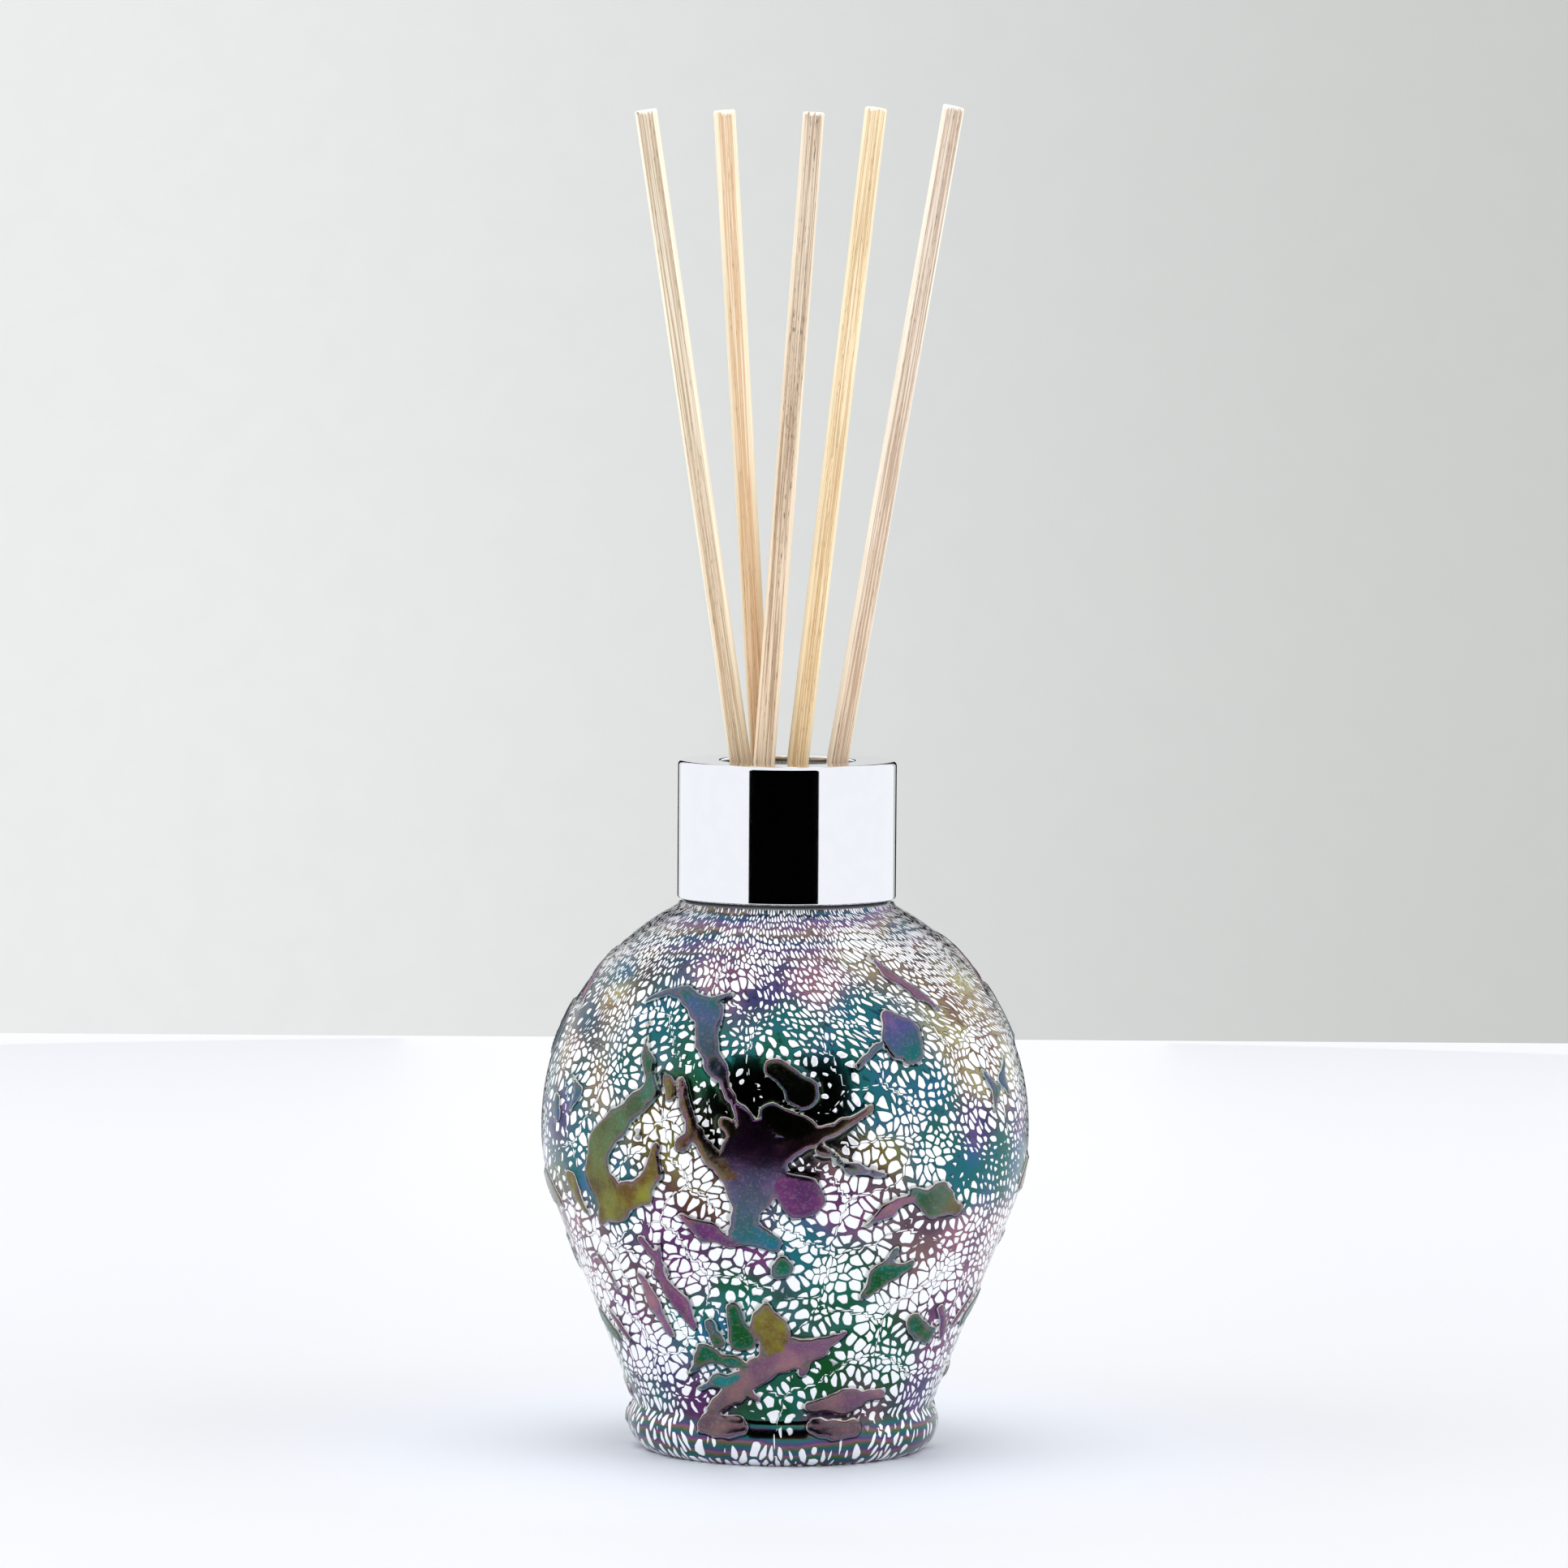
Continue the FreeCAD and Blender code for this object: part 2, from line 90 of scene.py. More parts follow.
class Tree:
    """A short way to write a material's node tree."""

    def __init__(self, name: str) -> None:
        """Start a material with a Principled shader.

        Args:
            name: the material's name.
        """
        self.material = bpy.data.materials.new(name)
        self.material.use_nodes = True
        self.nodes = self.material.node_tree.nodes
        self.links = self.material.node_tree.links
        self.shader = self.nodes["Principled BSDF"]

    def add(self, kind: str, inputs: dict | None = None, **settings: object) -> bpy.types.Node:
        """Add a node.

        Args:
            kind: the node's type without its ShaderNode prefix.
            inputs: values or output sockets by input name or number.
            settings: the node's own properties.

        Returns:
            The new node.
        """
        node = self.nodes.new("ShaderNode" + kind)
        for key, value in settings.items():
            setattr(node, key, value)
        for key, value in (inputs or {}).items():
            self.feed(node.inputs[key], value)
        return node

    def feed(self, socket: bpy.types.NodeSocket, value: object) -> None:
        """Set a socket to a value, or link an output to it.

        Args:
            socket: the input socket.
            value: a number, a colour, a vector or an output socket.
        """
        if isinstance(value, bpy.types.NodeSocket):
            self.links.new(value, socket)
        else:
            socket.default_value = value

    def math(self, operation: str, *values: object) -> bpy.types.NodeSocket:
        """Add a Math node.

        Args:
            operation: the Math node's operation.
            values: its inputs in order.

        Returns:
            The output socket.
        """
        node = self.add("Math", operation=operation)
        for socket, value in zip(node.inputs, values):
            self.feed(socket, value)
        return node.outputs[0]

    def times(self, *values: object) -> bpy.types.NodeSocket:
        """Multiply two or more values and return the product's socket."""
        return reduce(partial(self.math, "MULTIPLY"), values)

    def plus(self, *values: object) -> bpy.types.NodeSocket:
        """Add two or more values and return the sum's socket."""
        return reduce(partial(self.math, "ADD"), values)

    def minus(self, value: object, taken: object) -> bpy.types.NodeSocket:
        """Take one value from another and return the difference's socket."""
        return self.math("SUBTRACT", value, taken)

    def step(self, value: object, low: float, high: float, start: float = 0.0,
             end: float = 1.0) -> bpy.types.NodeSocket:
        """Map a value smoothly from one range to another.

        Args:
            value: the socket to map.
            low: where the range starts.
            high: where it ends.
            start: what low becomes.
            end: what high becomes.

        Returns:
            The output socket.
        """
        node = self.add("MapRange", interpolation_type="SMOOTHSTEP")
        for socket, given in zip(node.inputs, (value, low, high, start, end)):
            self.feed(socket, given)
        return node.outputs[0]

    def attribute(self, name: str) -> bpy.types.Node:
        """Add an Attribute node that reads a mesh attribute."""
        return self.add("Attribute", attribute_name=name)

    def ramp(self, value: object, stops: list[tuple[float, Colour]]) -> bpy.types.NodeSocket:
        """Add a colour ramp.

        Args:
            value: the factor.
            stops: places and linear colours.

        Returns:
            The colour socket.
        """
        node = self.add("ValToRGB", {0: value})
        elements = node.color_ramp.elements
        while len(elements) < len(stops):
            elements.new(1.0)
        for element, (place, colour) in zip(elements, stops):
            element.position = place
            element.color = (*colour, 1.0)
        return node.outputs[0]

    def mix(self, factor: object, first: object, second: object) -> bpy.types.NodeSocket:
        """Mix two colours and return the colour socket."""
        node = self.add("Mix", data_type="RGBA")
        for number, value in zip((0, 6, 7), (factor, first, second)):
            given = (*value, 1.0) if isinstance(value, tuple) and len(value) == 3 else value
            self.feed(node.inputs[number], given)
        return node.outputs[2]

    def speckle(self, vector: object, scale: float, detail: float = 2.0) -> bpy.types.NodeSocket:
        """Add a noise texture and return its value, 0 to 1."""
        wanted = {"Vector": vector, "Scale": scale, "Detail": detail}
        return self.add("TexNoise", wanted).outputs[0]

    def bump(self, height: object, depth: float, strength: float = 1.0) -> bpy.types.NodeSocket:
        """Turn a height into a bump normal.

        Args:
            height: the height socket.
            depth: metres that a height of 1 stands for.
            strength: share of the bump that shows.

        Returns:
            The normal socket.
        """
        wanted = {"Height": height, "Distance": depth, "Strength": strength}
        return self.add("Bump", wanted).outputs[0]

    def finish(self, **sockets: object) -> bpy.types.Material:
        """Feed the shader's sockets, named with _ for spaces, and return the material."""
        for name, value in sockets.items():
            given = (*value, 1.0) if name == "Base_Color" and isinstance(value, tuple) else value
            self.feed(self.shader.inputs[name.replace("_", " ")], given)
        return self.material


@dataclass(frozen=True)
class LustreGlass:
    """The bottle's outside: mirror cells in an iridescent net, with satin raised patches."""

    cell_colour: Colour = (0.95, 0.96, 0.98)
    cell_roughness: float = 0.06
    cell_body: float = 0.72
    net_roughness: float = 0.17
    patch_roughness: float = 0.22
    relief_depth: float = 0.09 * MM
    disorder: float = 0.88
    cell_reach: float = 0.75
    roundness: float = 0.29
    outline_colour: Colour = (0.012, 0.014, 0.022)
    # Painted shade for the patches' creases and painted highlight for their lips.
    crease_colour: Colour = (0.006, 0.006, 0.010)
    lip_colour: Colour = (0.86, 0.84, 0.62)
    dust: Colour = (0.36, 0.30, 0.27)
    fringe: tuple[tuple[float, Tone], ...] = ((0.0, Tone.ROSE), (0.25, Tone.VIOLET),
                                              (0.45, Tone.TEAL), (0.65, Tone.SEA),
                                              (0.85, Tone.OLIVE), (1.0, Tone.ROSE))
    crown_fringe: tuple[tuple[float, Tone], ...] = ((0.0, Tone.CREAM), (0.22, Tone.ROSE),
                                                    (0.45, Tone.LAVENDER), (0.62, Tone.BLUE),
                                                    (0.74, Tone.TEAL), (0.88, Tone.BRONZE),
                                                    (1.0, Tone.CREAM))

    def film(self, tree: Tree, thickness: object,
             fringe: tuple[tuple[float, Tone], ...]) -> bpy.types.NodeSocket:
        """Interference colour of a film, which repeats at every whole number."""
        stops = [(place, tone.value) for place, tone in fringe]
        return tree.ramp(tree.math("FRACT", thickness), stops)

    def shifted(self, tree: Tree, colour: object, field_value: object, hue: float,
                value: float) -> bpy.types.NodeSocket:
        """Shift a colour's hue and brightness by a 0 to 1 field.

        Args:
            tree: the node tree.
            colour: the colour socket.
            field_value: the field's socket.
            hue: widest hue shift.
            value: widest brightness change, as a share.

        Returns:
            The colour socket.
        """
        turned = tree.step(field_value, 0.3, 0.7, 0.5 - hue, 0.5 + hue)
        bright = tree.step(field_value, 0.35, 0.7, 1.0 - value, 1.0 + value)
        node = tree.add("HueSaturation", {"Hue": turned, "Value": bright, "Color": colour})
        return node.outputs[0]

    def cell_depth(self, tree: Tree, place: object) -> bpy.types.NodeSocket:
        """How far inside one of the flow's rounded cells a spot lies.

        Args:
            tree: the node tree.
            place: the spot's coordinates.

        Returns:
            The socket, negative in the net between the cells.
        """
        flow = tree.attribute("flow").outputs["Vector"]
        wobble = tree.add("TexNoise", {"Vector": flow, "Scale": 0.55, "Detail": 2.0})
        pulled = tree.add("VectorMath", {0: wobble.outputs["Color"], 1: (0.5, 0.5, 0.5)},
                          operation="SUBTRACT").outputs[0]
        bent = tree.add("VectorMath", {0: pulled, 1: (0.7, 0.7, 0.7), 2: flow},
                        operation="MULTIPLY_ADD").outputs[0]
        sown = {"Vector": bent, "Scale": 1.0, "Randomness": self.disorder}
        near, second = (tree.add("TexVoronoi", sown, voronoi_dimensions="2D", feature=rank).outputs[0]
                        for rank in ("F1", "F2"))
        crowd = tree.speckle(place, 130.0, 3.0)
        width = tree.plus(tree.attribute("web").outputs["Fac"], tree.step(crowd, 0.33, 0.67, -0.09, 0.11))
        rounded = tree.minus(tree.times(tree.minus(self.cell_reach, near), 1.5), tree.times(width, 0.8))
        gap = tree.minus(tree.minus(second, near), width)
        return tree.math("SMOOTH_MIN", gap, rounded, self.roundness)

    def net_colour(self, tree: Tree, place: object, mottle: object,
                   inside: object) -> bpy.types.NodeSocket:
        """Colour of the net: its own tint, with film bands at the foot and the crown.

        Args:
            tree: the node tree.
            place: the spot's coordinates.
            mottle: uneven thickness of the film.
            inside: how far inside a cell the spot lies.

        Returns:
            The colour socket.
        """
        level = tree.add("SeparateXYZ", {0: place}).outputs["Z"]
        net = self.shifted(tree, tree.attribute("net_tint").outputs["Vector"], mottle, 0.055, 0.30)
        low = tree.times(tree.step(level, 7.2 * MM, 5.6 * MM), 0.75)
        foot = tree.plus(tree.times(level, 620.0), tree.times(mottle, 1.5))
        net = tree.mix(low, net, self.film(tree, foot, self.fringe))
        high = tree.step(level, 70.0 * MM, 78.0 * MM, 0.0, 0.65)
        crown = tree.plus(tree.times(level, 330.0), tree.times(tree.speckle(place, 55.0, 3.0), 3.2))
        net = tree.mix(high, net, self.film(tree, crown, self.crown_fringe))
        outline = tree.times(tree.step(inside, -0.16, -0.05), tree.step(inside, 0.03, -0.02),
                             tree.step(level, 22.0 * MM, 66.0 * MM, 0.20, 0.62))
        return tree.mix(outline, net, self.outline_colour)

    def patch_colour(self, tree: Tree, place: object, mottle: object,
                     edge: object) -> bpy.types.NodeSocket:
        """Colour of a patch: its own tint, with a fringe of film towards its edge.

        Args:
            tree: the node tree.
            place: the spot's coordinates.
            mottle: uneven thickness of the film.
            edge: millimetres to the patch's edge.

        Returns:
            The colour socket.
        """
        tint = tree.attribute("patch_tint").outputs["Vector"]
        body = self.shifted(tree, tint, tree.speckle(place, 210.0, 3.0), 0.05, 0.28)
        rings = self.film(tree, tree.plus(tree.times(edge, 1.15), mottle), self.fringe)
        return tree.mix(tree.times(tree.step(edge, -1.10, -0.10), 0.60), body, rings)

    def rim_lines(self, tree: Tree, place: object,
                  edge: object) -> tuple[bpy.types.NodeSocket, bpy.types.NodeSocket]:
        """Painted shade in the creases and painted highlight on the lips along the patches' edges, set by
        how each edge turns to a light from the upper left front.

        Args:
            tree: the node tree.
            place: the spot's coordinates.
            edge: millimetres to the patch's edge.

        Returns:
            The strength of the painted shade in the creases and of the painted highlight on the lips.
        """
        light_facing = tree.attribute("light_facing").outputs["Fac"]
        uneven = tree.step(tree.speckle(place, 330.0, 2.0), 0.3, 0.65, 0.50, 1.0)
        # Painted shade: strongest where the edge turns away from the light.
        shaded_crease = tree.times(tree.step(edge, 0.40, 0.22), tree.step(edge, -0.02, 0.08), uneven,
                            tree.step(light_facing, 0.7, -0.5, 0.55, 1.0))
        # Painted highlight: strongest where the edge turns towards the light.
        lit_lip = tree.times(tree.step(edge, -0.20, -0.09), tree.step(edge, 0.05, -0.03),
                         tree.step(light_facing, -0.5, 0.7, 0.15, 1.0))
        return shaded_crease, lit_lip

    def material(self) -> bpy.types.Material:
        """Build the lustre from the mesh's own attributes and return the material."""
        tree = Tree("lustre_glass")
        place = tree.add("TexCoord").outputs["Object"]
        edge = tree.attribute("relief").outputs["Fac"]
        mottle = tree.speckle(place, 150.0, 4.0)
        grain = tree.speckle(place, 2400.0, 2.0)
        inside = self.cell_depth(tree, place)
        cell = tree.step(inside, -0.03, 0.05)
        patch = tree.step(edge, 0.07, -0.03)
        bare = tree.minus(1.0, patch)
        shaded_crease, lit_lip = self.rim_lines(tree, place, edge)

        body = self.patch_colour(tree, place, mottle, edge)
        body = tree.mix(tree.step(grain, 0.48, 0.72, 0.0, 0.20), body, self.dust)
        colour = tree.mix(cell, self.net_colour(tree, place, mottle, inside), self.cell_colour)
        colour = tree.mix(patch, colour, body)
        # Painted shade darkens the creases turned away from the light, and a painted highlight brightens
        # the lips turned towards it. The same masks also shape the bump.
        colour = tree.mix(tree.times(shaded_crease, 0.95), colour, self.crease_colour)
        colour = tree.mix(tree.times(lit_lip, 0.75), colour, self.lip_colour)

        rough = tree.add("Mix", {0: cell, 2: self.net_roughness, 3: self.cell_roughness})
        rough = tree.add("Mix", {0: patch, 2: rough.outputs[0], 3: self.patch_roughness})
        dome = tree.times(tree.step(inside, -0.06, 0.16), bare)
        height = tree.plus(tree.minus(dome, tree.times(shaded_crease, 0.5)), tree.times(lit_lip, 1.1),
                           tree.times(tree.step(edge, 0.05, -0.45), 1.6),
                           tree.times(tree.speckle(place, 700.0, 3.0), 0.30),
                           tree.times(grain, patch, 0.10))
        metal = tree.minus(1.0, tree.times(cell, bare, self.cell_body))
        return tree.finish(Base_Color=colour, Metallic=metal, Roughness=rough.outputs[0],
                           Normal=tree.bump(height, self.relief_depth, 0.8))


@dataclass(frozen=True)
class PlainFinish:
    """A single-tone material with fine unevenness in colour, gloss and surface."""

    name: str
    colour: Colour
    shade: Colour
    roughness: float
    metallic: float = 0.0
    grain: float = 400.0
    bump_depth: float = 0.01 * MM
    coat: float = 0.0
    stretch: tuple[float, float, float] = (1.0, 1.0, 1.0)

    def material(self) -> bpy.types.Material:
        """Build the finish and return the material."""
        tree = Tree(self.name)
        place = tree.add("TexCoord").outputs["Object"]
        scaled = tree.add("Mapping", {"Vector": place, "Scale": self.stretch}).outputs[0]
        mottle = tree.speckle(scaled, self.grain, 4.0)
        fine = tree.speckle(scaled, self.grain * 9.0, 2.0)
        colour = tree.mix(tree.step(mottle, 0.3, 0.7), self.colour, self.shade)
        rough = tree.step(fine, 0.25, 0.75, self.roughness * 0.8, self.roughness * 1.25)
        normal = tree.bump(fine, self.bump_depth, 0.5)
        return tree.finish(Base_Color=colour, Roughness=rough, Metallic=self.metallic,
                           Normal=normal, Coat_Weight=self.coat)


@dataclass(frozen=True)
class ReedWood:
    """Split-fibre wood that runs along the reed: pale sides, painted as side light, beside a darker,
    lined front and back, painted as shade.
    """

    name: str
    pale: Colour
    core: Colour
    dark: Colour
    crack: float = 0.5
    offset: float = 0.0
    face: float = 0.0
    soaked: Colour = (0.74, 0.40, 0.12)
    fresh_cut: Colour = (1.0, 0.98, 0.92)

    def material(self) -> bpy.types.Material:
        """Build the wood from the mesh's fibre and cut attributes and return the material."""
        tree = Tree(self.name)
        fibre = tree.attribute("fibre").outputs["Vector"]
        cut = tree.attribute("cut").outputs["Fac"]
        spots = tree.add("SeparateXYZ", {0: fibre}).outputs
        moved = tree.add("Mapping", {"Vector": fibre, "Location": (self.offset, 0.0, self.offset)})
        along, pores = (tree.add("Mapping", {0: moved.outputs[0], 3: (1.0, 1.0, pull)}).outputs[0]
                        for pull in (0.008, 0.10))
        broad = tree.speckle(along, 1.1, 3.0)
        streak = tree.speckle(along, 3.4)
        thin = tree.speckle(along, 5.6, 1.0)
        # The sides towards plus and minus X get the pale tone as painted side light; the front and back
        # towards plus and minus Y get the darker tone as painted shade.
        front = tree.plus(spots["Y"], tree.times(spots["X"], self.face))
        edge = tree.plus(front, tree.step(broad, 0.3, 0.7, -0.22, 0.22))
        inner = tree.math("MAXIMUM", tree.step(edge, -1.08, -1.22), tree.step(edge, 1.08, 1.22))
        tone = tree.times(inner, tree.step(streak, 0.34, 0.60, 0.45, 1.0))
        wood = tree.mix(tone, self.pale, self.core)
        soaked = tree.step(spots["Z"], 175.0, 85.0)
        lines = tree.times(tree.step(thin, 0.49, 0.55), tree.math("MULTIPLY_ADD", soaked, 0.15, 0.82))
        shown = tree.times(lines, tree.step(inner, 0.0, 1.0, 0.25, 1.0))
        wood = tree.mix(shown, wood, self.dark)
        split = tree.times(tree.step(tree.speckle(pores, 7.0, 3.0), 0.57, 0.66),
                           tree.step(streak, 0.46, 0.56), inner)
        wood = tree.mix(tree.times(split, self.crack), wood, tuple(part * 0.38 for part in self.dark))
        end = tree.mix(tree.speckle(fibre, 6.0, 3.0), self.fresh_cut, self.pale)
        frayed = tree.plus(cut, tree.step(tree.speckle(along, 4.0), 0.3, 0.7, -0.45, 0.25))
        wood = tree.mix(tree.step(frayed, 0.40, 0.52), wood, end)
        wood = tree.mix(tree.times(soaked, 0.20), wood, self.soaked)
        height = tree.minus(tree.times(streak, 0.8), tree.times(lines, 0.5))
        height = tree.minus(height, tree.times(split, 0.8))
        normal = tree.bump(height, 0.10 * MM, 0.7)
        return tree.finish(Base_Color=wood, Roughness=0.75, Normal=normal)


def new_piece(name: str, bm: bmesh.types.BMesh, material: bpy.types.Material,
              smooth: bool = True) -> bpy.types.Object:
    """Turn a bmesh into an object at the origin.

    Args:
        name: the object's name.
        bm: the shape, which is freed.
        material: its first material.
        smooth: whether its faces are smooth shaded.

    Returns:
        The object.
    """
    mesh = bpy.data.meshes.new(name)
    for face in bm.faces:
        face.smooth = smooth
    bm.to_mesh(mesh)
    bm.free()
    piece = bpy.data.objects.new(name, mesh)
    bpy.context.scene.collection.objects.link(piece)
    mesh.materials.append(material)
    return piece


def spin_outline(points: list[Point], steps: int) -> bmesh.types.BMesh:
    """Spin an outline of (radius, height) points a full turn about Z.

    Args:
        points: the outline, in order.
        steps: how many stops a turn has.

    Returns:
        The closed shape.
    """
    bm = bmesh.new()
    verts = [bm.verts.new((radius, 0.0, height)) for radius, height in points]
    closed = points[0][0] > 1e-7
    ends = verts + verts[:1] if closed else verts
    for first, second in zip(ends, ends[1:]):
        bm.edges.new((first, second))
    bmesh.ops.spin(bm, geom=bm.verts[:] + bm.edges[:], cent=(0, 0, 0), axis=(0, 0, 1),
                   dvec=(0, 0, 0), angle=2 * math.pi, steps=steps, use_merge=True,
                   use_duplicate=False)
    bmesh.ops.remove_doubles(bm, verts=bm.verts[:], dist=1e-6)
    bmesh.ops.recalc_face_normals(bm, faces=bm.faces[:])
    return bm


def store(mesh: bpy.types.Mesh, name: str, values: np.ndarray) -> None:
    """Keep one number or one vector for each point as a mesh attribute.

    Args:
        mesh: the mesh.
        name: the attribute's name.
        values: one row for each point.
    """
    vector = values.ndim == 2
    kept = mesh.attributes.new(name, "FLOAT_VECTOR" if vector else "FLOAT", "POINT")
    kept.data.foreach_set("vector" if vector else "value", values.astype(np.float32).ravel())


def fetch(items: bpy.types.bpy_prop_collection, name: str, kind: type = np.float32,
          width: int = 1) -> np.ndarray:
    """Read one property of every item in a mesh's collection.

    Args:
        items: the collection.
        name: the property's name.
        kind: its type.
        width: how many numbers it holds.

    Returns:
        One number or one row for each item.
    """
    values = np.empty(len(items) * width, dtype=kind)
    items.foreach_get(name, values)
    return values.reshape(-1, width) if width > 1 else values


@dataclass
class Outline:
    """An outline that grows by straight runs and arcs, in metres."""

    points: list[Point] = field(default_factory=list)

    def line(self, radius: float, height: float, step: float | None = None) -> "Outline":
        """Add a straight run to a point, cut into steps, and return the outline."""
        if self.points and step:
            last = self.points[-1]
            count = max(1, round(math.dist(last, (radius, height)) / step))
            for number in range(1, count):
                share = number / count
                self.points.append((last[0] + (radius - last[0]) * share,
                                    last[1] + (height - last[1]) * share))
        self.points.append((radius, height))
        return self

    def arc(self, centre: Point, radius: float, start: float, end: float,
            step: float) -> "Outline":
        """Add an arc about a centre between two angles in radians, and return the outline."""
        count = max(2, round(abs(end - start) * radius / step))
        for number in range(count + 1):
            angle = start + (end - start) * number / count
            point = (centre[0] + radius * math.cos(angle), centre[1] + radius * math.sin(angle))
            if not self.points or math.dist(self.points[-1], point) > 1e-6:
                self.points.append(point)
        return self


@dataclass(frozen=True)
class Patch:
    """A raised patch: a chain of (degrees from the front, height mm, half width mm)."""

    tone: Tone
    chain: tuple[tuple[float, float, float], ...]
    last_tone: Tone | None = None

    def turned(self, degrees: float, flip: bool, lift: float) -> "Patch":
        """Return the patch moved round the bottle.

        Args:
            degrees: how far round.
            flip: whether it is mirrored first.
            lift: millimetres that it moves up.

        Returns:
            The moved patch.
        """
        sign = -1.0 if flip else 1.0
        return replace(self, chain=tuple((sign * angle + degrees, height + lift, half)
                                         for angle, height, half in self.chain))


